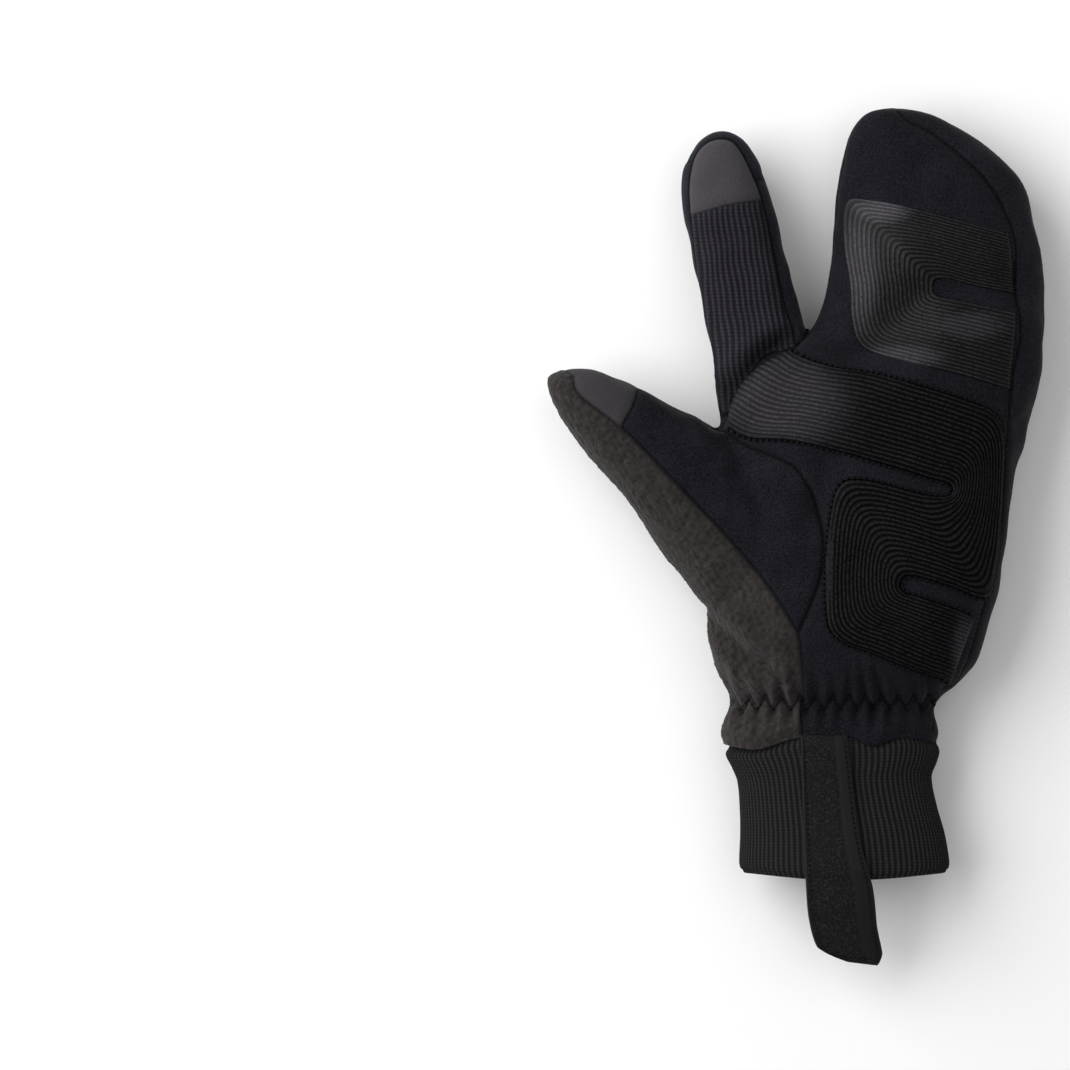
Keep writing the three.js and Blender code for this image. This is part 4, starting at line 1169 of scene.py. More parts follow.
def cuff_rings(ribs):
    """Rings of the double cuff: from inside the sleeve down its outside, round the hem and up its inside."""
    length = CUFF_BOX[1][1] - CUFF_BOX[0][1]
    tucked = np.linspace(-CUFF_HIDDEN, 0, CUFF_TUCK_RINGS + 1)[:-1]
    outside = np.linspace(0, 1, CUFF_OUTSIDE_RINGS)
    hem = np.linspace(0, math.pi, CUFF_HEM_RINGS + 2)[1:-1]
    lining = np.linspace(1, -CUFF_HIDDEN, CUFF_LINING_RINGS)
    along = np.concatenate([tucked, outside, np.ones(len(hem)), lining])
    inset = np.concatenate([
        CUFF_TUCK + CUFF_HIDDEN_TUCK * np.sqrt(-tucked / CUFF_HIDDEN),
        CUFF_TUCK * np.exp(-((outside * length / CUFF_TUCK_REACH) ** 2)), CUFF_WALL * (1 - np.cos(hem)) / 2,
        CUFF_WALL + CUFF_LINING_TUCK * np.clip(-lining / CUFF_HIDDEN, 0, 1)])
    rounding = np.clip(1 + (along - 1) * length / CUFF_ROUND_REACH, 0, 1)
    rounding[len(along) - len(lining) // 2:] = 0
    inset += CUFF_ROUND * (1 - np.sqrt(1 - rounding**2))
    past = np.zeros(len(along))
    past[len(tucked) + len(outside):-len(lining)] = CUFF_WALL / 2 * np.sin(hem)
    ribbed = np.concatenate([
        np.ones(len(tucked) + len(outside)), np.cos(hem / 2) ** 2, np.zeros(len(lining))])
    down = np.clip(along, 0, 1)
    left, right, top, bottom = (column(CUFF_SECTIONS, name, down)[:, None] for name in Section._fields[1:])
    angle = np.linspace(0, 2 * math.pi, ribs * CUFF_RIB_SAMPLES, endpoint=False)
    cosine, sine = np.cos(angle), np.sin(angle)
    size = (np.abs(cosine) ** CUFF_SQUARENESS + np.abs(sine) ** CUFF_SQUARENESS) ** (-1 / CUFF_SQUARENESS)
    wave = np.cos(ribs * angle + 0.35 * np.sin(3 * angle))
    rib = CUFF_RIB_HEIGHT * wave * ribbed[:, None]
    half_width = (right - left) / 2 * CUFF_WIDTH - inset[:, None]
    half_height = (top - bottom) / 2 * CUFF_THICKNESS - inset[:, None]
    middle = (left + right) / 2 * CUFF_WIDTH + hand_x(CUFF_CENTRE)
    x = middle + (half_width + rib) * size * cosine
    z = (top + bottom) / 2 * CUFF_THICKNESS + (half_height + rib) * size * sine
    bow = CUFF_BOW * (1 - np.clip(np.abs(cosine * size), 0, 1) ** 2) * np.clip(sine * size, -0.35, 1)
    z = z + CUFF_WAVE * np.sin(x / 8.5 + 0.7) * np.sin(along * 4.0)[:, None] * np.clip(sine * size, 0, 1)
    seam = smooth_curve(on_hand(CUFF_SEAM), 2.0)
    start = CUFF_START + (np.interp(x, seam[:, 0], seam[:, 1]) - CUFF_START) * ((1 - down)[:, None] ** 1.5)
    y = start - along[:, None] * (length - CUFF_HEM_ROOM) - past[:, None] - bow * down[:, None] ** 2
    rings = np.stack([x, y, np.maximum(z, CUFF_LIFT)], axis=-1)
    # The second value marks the ribs' crests and gaps, where the knit's finish paints light and shade
    return rings, np.where(ribbed[:, None] > 0, 0.5 + 0.5 * wave, 1.0)


def cuff_object(ribs):
    """The double cuff, with its ribs marked for the knit's colour, which paints light on their crests and
    shade in their gaps.
    """
    rings, rib = cuff_rings(ribs)
    faces = [(a, d, c, b) for a, b, c, d in grid_faces(*rings.shape[:2], along=True)]
    return piece_object("knit_cuff_ribs", rings.reshape(-1, 3), faces, rib=rib.ravel())


# Pull tab

TabRow = namedtuple("TabRow", "left_x left_y right_x right_y")

# Edges of the pull tab from the cuff seam to its slanted, rounded end, in millimetres
TAB_ROWS = rows_of(TabRow, [
    (-24.2, -79.5, -6.8, -79.5), (-23.0, -116.0, -2.4, -116.0), (-21.9, -139.6, 2.5, -135.5),
    (-20.5, -150.0, 4.3, -150.0), (-18.3, -157.0, 6.1, -158.1), (-16.1, -159.2, 6.5, -160.7),
    (-12.0, -161.4, 5.8, -163.3), (-6.4, -163.6, 4.7, -165.1),
])

# Lengths are in millimetres, apart from the band, a share of the width
TAB_THICKNESS = 1.8
TAB_BAND = 0.28
TAB_DROOP = 15.0
TAB_GRID = (150, 34)
TAB_BED_ROUNDS = 8
TAB_LIFT = 0.2
TAB_WAVE = 0.35
TAB_CORE = 0.3
TAB_CROWN = 0.8
TAB_BAND_SOFTNESS = 0.25
TAB_BAND_RISE = 0.3
TAB_FOLD = 1.1
TAB_SEWN_DEPTH = 0.35
TAB_EDGE_STEP = 0.2
TAB_LEAVES = 1.5
TAB_LAST_TOUCH = 0.5
TAB_DROOP_POWER = 1.6
TAB_SEWN_IN = 1.2
TAB_SEWN_WIDTH = 0.4
TAB_BAND_SEAM = 0.2
TAB_BAND_SEAM_WIDTH = 0.35


def tab_bed(cuff_tree, x, y):
    """Height of what the tab lies on, and its fall beyond the cuff's end."""
    cuff_end = CUFF_BOX[0][1] + TAB_LEAVES
    reach = max(0.0, cuff_end - y)
    touch = max(y, cuff_end + TAB_LAST_TOUCH)
    hit, _, _, _ = cuff_tree.ray_cast(Vector((x, touch, FAR_ABOVE)), Vector((0, 0, -1)))
    top = hit[2] if hit is not None else CUFF_THICKNESS
    return top - TAB_DROOP * (reach / (cuff_end - TAB_BOX[0][1])) ** TAB_DROOP_POWER


def tab_grid(cuff_tree):
    """Top and bottom of the tab, and how much each point lies on its smooth band or its folded edge."""
    rows, columns = TAB_GRID
    edges = evenly(smooth_curve(TAB_ROWS, 1.0), TAB_EDGE_STEP)
    lengths = np.linspace(0, len(edges) - 1, rows)
    edges = np.stack([np.interp(lengths, np.arange(len(edges)), edges[:, k]) for k in range(4)], axis=1)
    u = 0.5 - 0.5 * np.cos(np.linspace(0, math.pi, columns))
    plane = edges[:, None, :2] * (1 - u)[None, :, None] + edges[:, None, 2:] * u[None, :, None]
    width = np.linalg.norm(edges[:, 2:] - edges[:, :2], axis=1)[:, None]
    to_right = (1 - u)[None, :] * width
    to_end = np.linalg.norm(plane - plane[-1:], axis=2)
    edge = np.minimum(np.minimum(u[None, :] * width, to_right), to_end)
    to_band = to_right - TAB_BAND * width
    band = 1 / (1 + np.exp(np.clip(to_band / TAB_BAND_SOFTNESS, -30, 30)))
    band = np.maximum(band, np.exp(-((edge / TAB_FOLD) ** 4)))
    bed = np.array([[tab_bed(cuff_tree, x, y) for x, y in row] for row in plane])
    for _ in range(TAB_BED_ROUNDS):
        bed[1:-1, 1:-1] = (bed[:-2, 1:-1] + bed[2:, 1:-1] + bed[1:-1, :-2] + bed[1:-1, 2:]) / 4
    down = np.linspace(0, 1, rows)[:, None]
    bed += TAB_LIFT + TAB_WAVE * np.sin(down * 9.0 + u[None, :] * 2.0) * np.minimum(1, down * 3)
    crown = np.sqrt(np.clip(1 - (1 - np.clip(edge / TAB_CROWN, 0, 1)) ** 2, 0, 1))
    seams = (
        np.exp(-(((edge - TAB_SEWN_IN) / TAB_SEWN_WIDTH) ** 2))
        + np.exp(-(((to_band - TAB_BAND_SEAM) / TAB_BAND_SEAM_WIDTH) ** 2)))
    top = bed + TAB_CORE + (TAB_THICKNESS - TAB_CORE + TAB_BAND_RISE * band) * crown - TAB_SEWN_DEPTH * seams
    return np.dstack([plane, top]), np.dstack([plane, bed]), band


def tab_object(top, bottom, band):
    """The strap, with its smooth band and folded edges marked for the cloth's colour."""
    rows, columns = top.shape[:2]
    points = np.vstack([top.reshape(-1, 3), bottom.reshape(-1, 3)])
    return piece_object(
        "pull_tab_strap", points, slab_faces(rows, columns, columns, points),
        band=np.concatenate([band.ravel(), np.ones(band.size)]))


class Shared:
    """What the pieces share within one run."""

    skin = None
    cuff_tree = None
    tab_top = None
    finishes = {}


def size_of(name):
    """A size from the sidebar, in millimetres."""
    return getattr(bpy.context.scene.mitt_sizes, name) / MM


def shared_skin():
    """The skin, made once with the sidebar's sizes."""
    if Shared.skin is None:
        Shared.skin = Skin(size_of("wall"), size_of("seam_depth"), size_of("puff"))
    return Shared.skin


# Finishes

def linear(hex_colour):
    """An sRGB hex colour as linear red, green, blue and alpha."""
    channels = [int(hex_colour[i:i + 2], 16) / 255 for i in (1, 3, 5)]
    return [c / 12.92 if c <= 0.04045 else ((c + 0.055) / 1.055) ** 2.4 for c in channels] + [1.0]


def shaded(colour, share):
    """A colour made darker or lighter by a share of its linear value."""
    return [channel * share for channel in colour[:3]] + [1.0]


def add_node(tree, kind, inputs=None, **settings):
    """A shader node with its settings. Each input is a value, another node's first output or a socket."""
    made = tree.nodes.new("ShaderNode" + kind)
    for name, value in settings.items():
        setattr(made, name, value)
    for socket, value in (inputs or {}).items():
        if isinstance(value, bpy.types.Node):
            value = value.outputs[0]
        if isinstance(value, bpy.types.NodeSocket):
            tree.links.new(value, made.inputs[socket])
        else:
            made.inputs[socket].default_value = value
    return made


def new_material(name):
    """An empty material: itself, its nodes, and the object's own coordinates."""
    material = bpy.data.materials.new(name)
    material.use_nodes = True
    tree = material.node_tree
    tree.nodes.clear()
    return material, tree, add_node(tree, "TexCoord").outputs["Object"]


def finished(material, colour, bump, roughness, specular, sheen=0.0, sheen_roughness=0.5):
    """The material with its shader, which reads its colour node, and its bump node where it has one."""
    tree = material.node_tree
    inputs = {
        "Base Color": colour, "Roughness": roughness, "Specular IOR Level": specular, "Sheen Weight": sheen,
        "Sheen Roughness": sheen_roughness, "IOR": 1.5}
    if bump is not None:
        inputs["Normal"] = bump
    shader = add_node(tree, "BsdfPrincipled", inputs)
    add_node(tree, "OutputMaterial", {"Surface": shader})
    return material


def per_mm(pitch):
    """A texture's scale for lumps or bands of that size in millimetres."""
    return 1 / (pitch * MM)


def bands_per_mm(pitch):
    """A wave texture's scale for bands of that pitch in millimetres."""
    return per_mm(pitch) * math.pi / 10


def painted_seam_shade(tree, cloth, dark, most, start, end, way="SMOOTHSTEP"):
    """A cloth's colour with shade painted in, darkest where it turns down into a seam: from start to end, in
    millimetres away.
    """
    away = add_node(tree, "Attribute", attribute_name="seam").outputs["Fac"]
    shade = add_node(tree, "MapRange", {
        "Value": away, "From Min": start, "From Max": end, "To Min": most, "To Max": 0.0},
        interpolation_type=way)
    return add_node(tree, "MixRGB", {"Fac": shade, "Color1": cloth, "Color2": dark})


def softshell(name, colour, roughness):
    """Polyester softshell, brushed: a matte cloth whose fine pile catches a little light."""
    material, tree, places = new_material(name)
    pile = add_node(tree, "TexNoise", {
        "Vector": places, "Scale": per_mm(0.6), "Detail": 3.0, "Roughness": 0.7})
    cloudy = add_node(tree, "TexNoise", {"Vector": places, "Scale": per_mm(13.0), "Detail": 2.0})
    both = add_node(tree, "Math", {0: cloudy, 1: 0.15, 2: pile}, operation="MULTIPLY_ADD")
    amount = add_node(tree, "MapRange", {"Value": both, "From Min": 0.46, "From Max": 0.70})
    cloth = add_node(tree, "MixRGB", {
        "Fac": amount, "Color1": shaded(colour, 0.3), "Color2": shaded(colour, 2.0)})
    sewn = painted_seam_shade(tree, cloth, shaded(colour, 0.12), 0.9, 0.15, 1.2)
    fine = add_node(tree, "TexNoise", {
        "Vector": places, "Scale": per_mm(0.55), "Detail": 4.0, "Roughness": 0.75})
    bump = add_node(tree, "Bump", {"Strength": 0.6, "Distance": 0.14 * MM, "Height": fine})
    return finished(material, sewn, bump, roughness, 0.07, 0.035)


def back_weave(name, colour):
    """Woven polyester shell: rows of short raised threads, light dashes on a dark ground."""
    material, tree, places = new_material(name)
    across = add_node(tree, "TexWave", {
        "Vector": places, "Scale": bands_per_mm(1.3), "Distortion": 0.5}, bands_direction="X").outputs["Fac"]
    down = add_node(tree, "TexWave", {
        "Vector": places, "Scale": bands_per_mm(1.6), "Distortion": 0.5}, bands_direction="Y").outputs["Fac"]
    dots = add_node(tree, "Math", {0: across, 1: down}, operation="MULTIPLY")
    uneven = add_node(tree, "TexNoise", {"Vector": places, "Scale": per_mm(1.7), "Detail": 3.0})
    speckle = add_node(tree, "Math", {0: dots, 1: uneven}, operation="MULTIPLY")
    amount = add_node(tree, "MapRange", {"Value": speckle, "From Min": 0.12, "From Max": 0.5})
    threads = add_node(tree, "MixRGB", {
        "Fac": amount, "Color1": shaded(colour, 0.7), "Color2": shaded(colour, 2.8)})
    bump = add_node(tree, "Bump", {"Strength": 0.7, "Distance": 0.14 * MM, "Height": dots})
    return finished(material, threads, bump, 0.75, 0.12, 0.03, 0.4)


def rib_knit(name, colour, course, deep):
    """Knitted rib of wool and acrylic, with rows of loops across: light painted on its crests and shade
    painted dark in the gaps.
    """
    material, tree, places = new_material(name)
    loops = add_node(tree, "TexWave", {
        "Vector": places, "Scale": bands_per_mm(course), "Distortion": 2.5, "Detail Scale": 2.0},
        bands_direction="Y").outputs["Fac"]
    fuzz = add_node(tree, "TexNoise", {
        "Vector": places, "Scale": per_mm(0.6), "Detail": 4.0, "Roughness": 0.7})
    rib = add_node(tree, "Attribute", attribute_name="rib").outputs["Fac"]
    faint = add_node(tree, "MapRange", {"Value": loops, "To Min": 0.5, "To Max": 1.0})
    # Painted light and shade: the yarn's colour goes light on the rib crests and dark in the gaps
    lit = add_node(tree, "Math", {0: rib, 1: faint}, operation="MULTIPLY")
    both = add_node(tree, "Math", {0: lit, 1: fuzz}, operation="MULTIPLY")
    amount = add_node(tree, "MapRange", {"Value": both, "From Min": 0.1, "From Max": 0.5})
    yarn = add_node(tree, "MixRGB", {
        "Fac": amount, "Color1": shaded(colour, deep), "Color2": shaded(colour, 1.35)})
    height = add_node(tree, "Math", {0: faint, 1: fuzz}, operation="ADD")
    bump = add_node(tree, "Bump", {"Strength": 0.5, "Distance": 0.14 * MM, "Height": height})
    return finished(material, yarn, bump, 0.95, 0.04)


def touch_patch(name, colour):
    """Conductive microsuede, cut and bonded: smooth, matte and a shade lighter than the cloth round it."""
    material, tree, places = new_material(name)
    fine = add_node(tree, "TexNoise", {
        "Vector": places, "Scale": per_mm(0.7), "Detail": 3.0, "Roughness": 0.6})
    cloth = add_node(tree, "MixRGB", {
        "Fac": fine, "Color1": shaded(colour, 0.6), "Color2": shaded(colour, 1.4)})
    sewn = painted_seam_shade(tree, cloth, shaded(colour, 0.12), 0.7, 0.1, 0.9, "LINEAR")
    bump = add_node(tree, "Bump", {"Strength": 0.4, "Distance": 0.08 * MM, "Height": fine})
    return finished(material, sewn, bump, 0.9, 0.08, 0.05, 0.6)


def fleece(name, colour):
    """Polyester microfleece, sheared nap: mottled brown-grey tufts, with shade painted dark between them."""
    material, tree, places = new_material(name)
    tufts = add_node(tree, "TexNoise", {
        "Vector": places, "Scale": per_mm(1.0), "Detail": 4.0, "Roughness": 0.8})
    clumps = add_node(tree, "TexNoise", {"Vector": places, "Scale": per_mm(1.9), "Detail": 3.0})
    rib = add_node(tree, "Attribute", attribute_name="rib").outputs["Fac"]
    mottle = add_node(tree, "Math", {0: tufts, 1: clumps}, operation="ADD")
    # Painted shade and random tone: the colour follows the tufts' height, dark between them, on top of the
    # mottle
    both = add_node(tree, "Math", {0: rib, 1: 0.6, 2: mottle}, operation="MULTIPLY_ADD")
    amount = add_node(tree, "MapRange", {"Value": both, "From Min": 1.0, "From Max": 1.65})
    cloth = add_node(tree, "MixRGB", {
        "Fac": amount, "Color1": shaded(colour, 0.4), "Color2": shaded(colour, 1.5)})
    sewn = painted_seam_shade(tree, cloth, shaded(colour, 0.08), 0.92, 0.2, 1.4)
    bump = add_node(tree, "Bump", {"Strength": 0.7, "Distance": 0.35 * MM, "Height": tufts})
    return finished(material, sewn, bump, 0.97, 0.04, 0.08, 0.7)


def grip(name, colour, roughness, specular, painted_shine):
    """Silicone ribs printed on cloth: blackish and dotted, with shade painted dark in the grooves and sheen
    painted paler in the patch's spots.
    """
    material, tree, places = new_material(name)
    dots = add_node(tree, "TexNoise", {
        "Vector": places, "Scale": per_mm(1.1), "Detail": 4.0, "Roughness": 0.9})
    rib = add_node(tree, "Attribute", attribute_name="rib").outputs["Fac"]
    worn = add_node(tree, "Attribute", attribute_name="worn").outputs["Fac"]
    # Painted shade: the colour goes dark in the grooves between the ribs and light on their crests
    lit = add_node(tree, "Math", {0: rib, 1: dots}, operation="MULTIPLY")
    amount = add_node(tree, "MapRange", {"Value": lit, "From Min": 0.36, "From Max": 0.58})
    plain = add_node(tree, "MixRGB", {
        "Fac": amount, "Color1": shaded(colour, 0.1), "Color2": shaded(colour, 2.4)})
    # Painted sheen: in the patch's spots the ribs' colour is made much paler, as if the silicone caught the
    # light (on the palm band's start also for wear)
    sheen_painted = add_node(tree, "MixRGB", {
        "Fac": amount, "Color1": shaded(colour, 0.25 + 0.3 * painted_shine), "Color2": shaded(colour, painted_shine)})
    ribs = add_node(tree, "MixRGB", {"Fac": worn, "Color1": plain, "Color2": sheen_painted})
    bump = add_node(tree, "Bump", {"Strength": 0.6, "Distance": 0.12 * MM, "Height": dots})
    return finished(material, ribs, bump, roughness, specular)


def reflective_tape(name, colour):
    """Glass-bead reflective tape, folded over a cord: a plain light grey line with a faint sparkle."""
    material, tree, places = new_material(name)
    beads = add_node(tree, "TexNoise", {"Vector": places, "Scale": per_mm(0.35), "Detail": 2.0})
    tape = add_node(tree, "MixRGB", {
        "Fac": beads, "Color1": shaded(colour, 0.7), "Color2": shaded(colour, 1.3)})
    bump = add_node(tree, "Bump", {"Strength": 0.5, "Distance": 0.05 * MM, "Height": beads})
    return finished(material, tape, bump, 0.38, 0.4)


def tab_cloth(name, colour):
    """Embossed synthetic suede, turned in and sewn: a coarse black grain with sparse specks painted bright as
    glints, beside a smooth folded band.
    """
    material, tree, places = new_material(name)
    grain = add_node(tree, "TexNoise", {
        "Vector": places, "Scale": per_mm(0.75), "Detail": 5.0, "Roughness": 0.85})
    band = add_node(tree, "Attribute", attribute_name="band").outputs["Fac"]
    # The grain's sparse bright specks are painted glints
    grain_glints = add_node(tree, "MapRange", {"Value": grain, "From Min": 0.5, "From Max": 0.68})
    flat = add_node(tree, "MapRange", {"Value": grain, "To Min": 0.06, "To Max": 0.2})
    amount = add_node(tree, "MixRGB", {"Fac": band, "Color1": grain_glints, "Color2": flat})
    suede = add_node(tree, "MixRGB", {
        "Fac": amount, "Color1": shaded(colour, 0.35), "Color2": shaded(colour, 5.5)})
    bump = add_node(tree, "Bump", {"Strength": 0.7, "Distance": 0.18 * MM, "Height": amount})
    return finished(material, suede, bump, 0.8, 0.14, 0.03)


def sewing_thread(name, colour):
    """Bonded polyester thread: black, twisted, with a slight gloss."""
    material, tree, places = new_material(name)
    twist = add_node(tree, "TexNoise", {"Vector": places, "Scale": per_mm(0.4), "Detail": 2.0})
    thread = add_node(tree, "MixRGB", {
        "Fac": twist, "Color1": shaded(colour, 0.5), "Color2": shaded(colour, 1.5)})
    return finished(material, thread, None, 0.6, 0.12)


FINISHES = {
    "palm": lambda: softshell("brushed_softshell", colour_of("softshell"), 0.84),
    "side": lambda: softshell("smooth_softshell", shaded(colour_of("softshell"), 1.15), 0.74),
    "index": lambda: softshell("knit_faced_softshell", shaded(colour_of("softshell"), 1.7), 0.88),
    "weave": lambda: back_weave("woven_polyester_shell", colour_of("weave")),
    "index_knit": lambda: rib_knit("ribbed_finger_knit", colour_of("index_knit"), 1.3, 0.4),
    "cuff_knit": lambda: rib_knit("double_rib_knit", colour_of("cuff_knit"), 1.1, 0.42),
    "touch": lambda: touch_patch("conductive_microsuede", colour_of("touch")),
    # Painted shade: the thumb tip is the same microsuede, its colour made darker because that patch faces the
    # key light
    "thumb_touch_painted_shade": lambda: touch_patch("conductive_microsuede_painted_shade", shaded(colour_of("touch"), 0.72)),
    "fleece": lambda: fleece("sheared_microfleece", colour_of("fleece")),
    "palm_grip": lambda: grip("silicone_ribbed_pad", colour_of("grip"), 0.6, 0.05, 8.0),
    "pocket_grip": lambda: grip("silicone_rib_print", shaded(colour_of("grip"), 1.4), 0.45, 0.12, 9.0),
    "tape": lambda: reflective_tape("glass_bead_tape", colour_of("piping")),
    "tab": lambda: tab_cloth("embossed_suede_tape", colour_of("tab")),
    "thread": lambda: sewing_thread("bonded_sewing_thread", colour_of("thread")),
}


def colour_of(name):
    """A colour from the sidebar."""
    return list(getattr(bpy.context.scene.mitt_colours, name))


def finish(piece, key):
    """Gives a piece its finish, made once and shared."""
    if key not in Shared.finishes:
        Shared.finishes[key] = FINISHES[key]()
    piece.data.materials.append(Shared.finishes[key])


def place_piece(piece, node, key):
    """A finished piece stands for a CAD node, or goes beside one where node is None."""
    finish(piece, key)
    if node:
        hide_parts(node)
    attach(piece, "root")


PanelMake = namedtuple("PanelMake", "slot finish fill refine relief", defaults=(0.6, 0, None))

PANEL_MAKES = {
    "back_panel": PanelMake("back_weave", "weave", 0.5),
    "outer_side_strip": PanelMake("side_softshell", "side"),
    "pocket_gusset": PanelMake("side_softshell", "side"),
    "palm_panel": PanelMake("palm_softshell", "palm"),
    "index_back_panel": PanelMake("side_softshell", "index"),
    "index_outer_strip": PanelMake("side_softshell", "index"),
    "index_inner_strip": PanelMake("side_softshell", "index"),
    "index_rib_panel": PanelMake("index_rib", "index_knit", 0.6, 2, rib_panel_relief),
    "index_touch_tip": PanelMake("touch_patch", "touch", 0.7),
    "thumb_front_panel": PanelMake("palm_softshell", "palm"),
    "thumb_touch_tip": PanelMake("touch_patch", "thumb_touch_painted_shade", 0.7),
    "thumb_fleece_panel": PanelMake("fleece", "fleece", 0.6, 1, fleece_relief),
}


class MITT_OT_panels(bpy.types.Operator):
    """Lofts, puffs, folds and gathers the skin, and cuts it into its twelve sewn panels"""

    bl_idname = "mitt.panels"
    bl_label = "Sew the panels"

    def execute(self, context):
        skin = shared_skin()
        for name in PANELS:
            make = PANEL_MAKES[name]
            piece = panel_object(skin, name, make.refine, make.relief)
            place_piece(piece, name, make.finish)
        return {"FINISHED"}


class MITT_OT_grip_patches(bpy.types.Operator):
    """Lays the padded palm patch and the printed pocket patch, with their ribs"""

    bl_idname = "mitt.grip_patches"
    bl_label = "Lay the grip patches"

    def execute(self, context):
        skin = shared_skin()
        palm = patch_object(skin, PALM_PATCH)
        place_piece(palm, "palm_grip_patch", "palm_grip")
        pocket = patch_object(skin, POCKET_PATCH)
        place_piece(pocket, "pocket_grip_patch", "pocket_grip")
        return {"FINISHED"}


class MITT_OT_piping(bpy.types.Operator):
    """Sets the reflective piping into its seam on the back"""

    bl_idname = "mitt.piping"
    bl_label = "Set the piping"

    def execute(self, context):
        skin = shared_skin()
        line = evenly(smooth_curve(on_hand(PIPING_LINE[1:]), 1.0), PIPING_STEP)
        places, ups = zip(*[skin.underneath(x, y) for x, y in line])
        radius = size_of("piping") / 2
        centre = np.array(places)
        centre[:, 2] = np.maximum(centre[:, 2] + PIPING_SINK, radius + PIPING_CLEAR)
        made = cord_object("reflective_piping_cord", centre, np.array(ups), radius)
        place_piece(made, "reflective_piping", "tape")
        return {"FINISHED"}


class MITT_OT_cuff(bpy.types.Operator):
    """Knits the double rib cuff"""

    bl_idname = "mitt.cuff"
    bl_label = "Knit the cuff"

    def execute(self, context):
        made = cuff_object(context.scene.mitt_sizes.cuff_ribs)
        place_piece(made, "knit_cuff", "cuff_knit")
        points, triangles = read_mesh(made.data)
        Shared.cuff_tree = BVHTree.FromPolygons(points.tolist(), triangles.tolist())
        return {"FINISHED"}


class MITT_OT_pull_tab(bpy.types.Operator):
    """Sews the pull tab to the palm side of the cuff"""

    bl_idname = "mitt.pull_tab"
    bl_label = "Sew the pull tab"

    def execute(self, context):
        top, bottom, band = tab_grid(Shared.cuff_tree)
        made = tab_object(top, bottom, band)
        place_piece(made, "pull_tab", "tab")
        Shared.tab_top = top
        return {"FINISHED"}


def patch_edge(bars, side, outward):
    """One long edge of a grip band, moved outward by some millimetres, as a plane line."""
    ends = on_hand_bars(bars)
    inner, outer = ends[:, :2], ends[:, 2:]
    way = (outer - inner) / np.linalg.norm(outer - inner, axis=1)[:, None]
    return smooth_curve(inner - way * outward if side == "inner" else outer + way * outward, 1.0)


def sewn(name, runs, kind, slot):
    """A run of stitches as a finished piece."""
    place_piece(stitches_object(name, runs, kind.radius), None, "thread")


class MITT_OT_stitching(bpy.types.Operator):
    """Sews the visible thread: round the palm patch, along the elastic, the side strip and the tab"""

    bl_idname = "mitt.stitching"
    bl_label = "Sew the stitching"

    def execute(self, context):
        skin = shared_skin()
        runs = []
        for side in ("inner", "outer"):
            runs += stitches_along(patch_edge(PALM_BAND, side, PATCH_STITCH_OUT), skin.on_top, PATCH_STITCH)
        sewn("palm_patch_stitches", runs, PATCH_STITCH, "palm_grip")

        x = np.arange(hand_x(ELASTIC_RUN[0]), hand_x(ELASTIC_RUN[1]), ZIGZAG_PITCH / ZIGZAG_POINTS)
        runs = stitches_along(np.stack([x, zigzag(x)], axis=1), skin.on_top, ELASTIC_STITCH)
        sewn("elastic_stitches", runs, ELASTIC_STITCH, "palm_softshell")

        strip = smooth_curve(on_hand(OUTER_STRIP_SEAM[1:-2]), 1.0) - np.array([STRIP_STITCH_IN, 0.0])
        runs = stitches_along(strip, skin.on_top, STRIP_STITCH)
        sewn("side_strip_stitches", runs, STRIP_STITCH, "palm_softshell")

        runs = []
        last = Shared.tab_top.shape[1] - 1
        down = slice(TAB_STITCH_START, 1 - TAB_STITCH_END)
        left, right = (Shared.tab_top[down, int(round(share * last))] for share in TAB_STITCH_LINES)
        for line in (left, right, Shared.tab_top[-TAB_STITCH_END, TAB_STITCH_SIDE:-TAB_STITCH_SIDE]):
            spots = evenly(line, TAB_STITCH.pitch) + np.array([0.0, 0.0, TAB_STITCH.lift])
            runs += [(a, a + (b - a) * TAB_STITCH.share, (0, 0, 1)) for a, b in zip(spots[:-1], spots[1:])]
        sewn("pull_tab_stitches", runs, TAB_STITCH, "tab_twill")
        return {"FINISHED"}


# Stage

# Metres, apart from the lens and the sensor, in millimetres, and the lamps' power, in watts
FLOOR_SIZE = 6.0
FLOOR_DROP = 0.0002
FRAME_CENTRE = (-0.1221, -0.00555)
FRAME_WIDTH = 0.3959
LENS = 300.0
SENSOR = 36.0

Lamp = namedtuple("Lamp", "name place size power")

LAMPS = [
    Lamp("key_softbox", (-1.25, 0.50, 0.95), (1.8, 1.8), 38.0),
    Lamp("fill_softbox", (0.60, 0.40, 1.60), (1.4, 1.4), 4.0),
]
LAMP_TARGET = (-0.02, -0.01, 0.02)
SKY = 0.42


def area_light(lamp):
    """A softbox that faces the mitt."""
    light = bpy.data.lights.new(lamp.name, "AREA")
    light.shape = "RECTANGLE"
    light.size, light.size_y = lamp.size
    light.energy = lamp.power
    made = bpy.data.objects.new(lamp.name, light)
    made.location = lamp.place
    made.rotation_euler = (Vector(LAMP_TARGET) - Vector(lamp.place)).to_track_quat("-Z", "Y").to_euler()
    bpy.context.scene.collection.objects.link(made)


def matt_paper(name, colour):
    """Matt photo paper: white, with a faint fibre that keeps it from looking empty."""
    material, tree, places = new_material(name)
    fibre = add_node(tree, "TexNoise", {"Vector": places, "Scale": per_mm(6.0), "Detail": 3.0})
    paper = add_node(tree, "MixRGB", {
        "Fac": fibre, "Color1": shaded(colour, 0.995), "Color2": colour})
    return finished(material, paper, None, 0.95, 0.05)


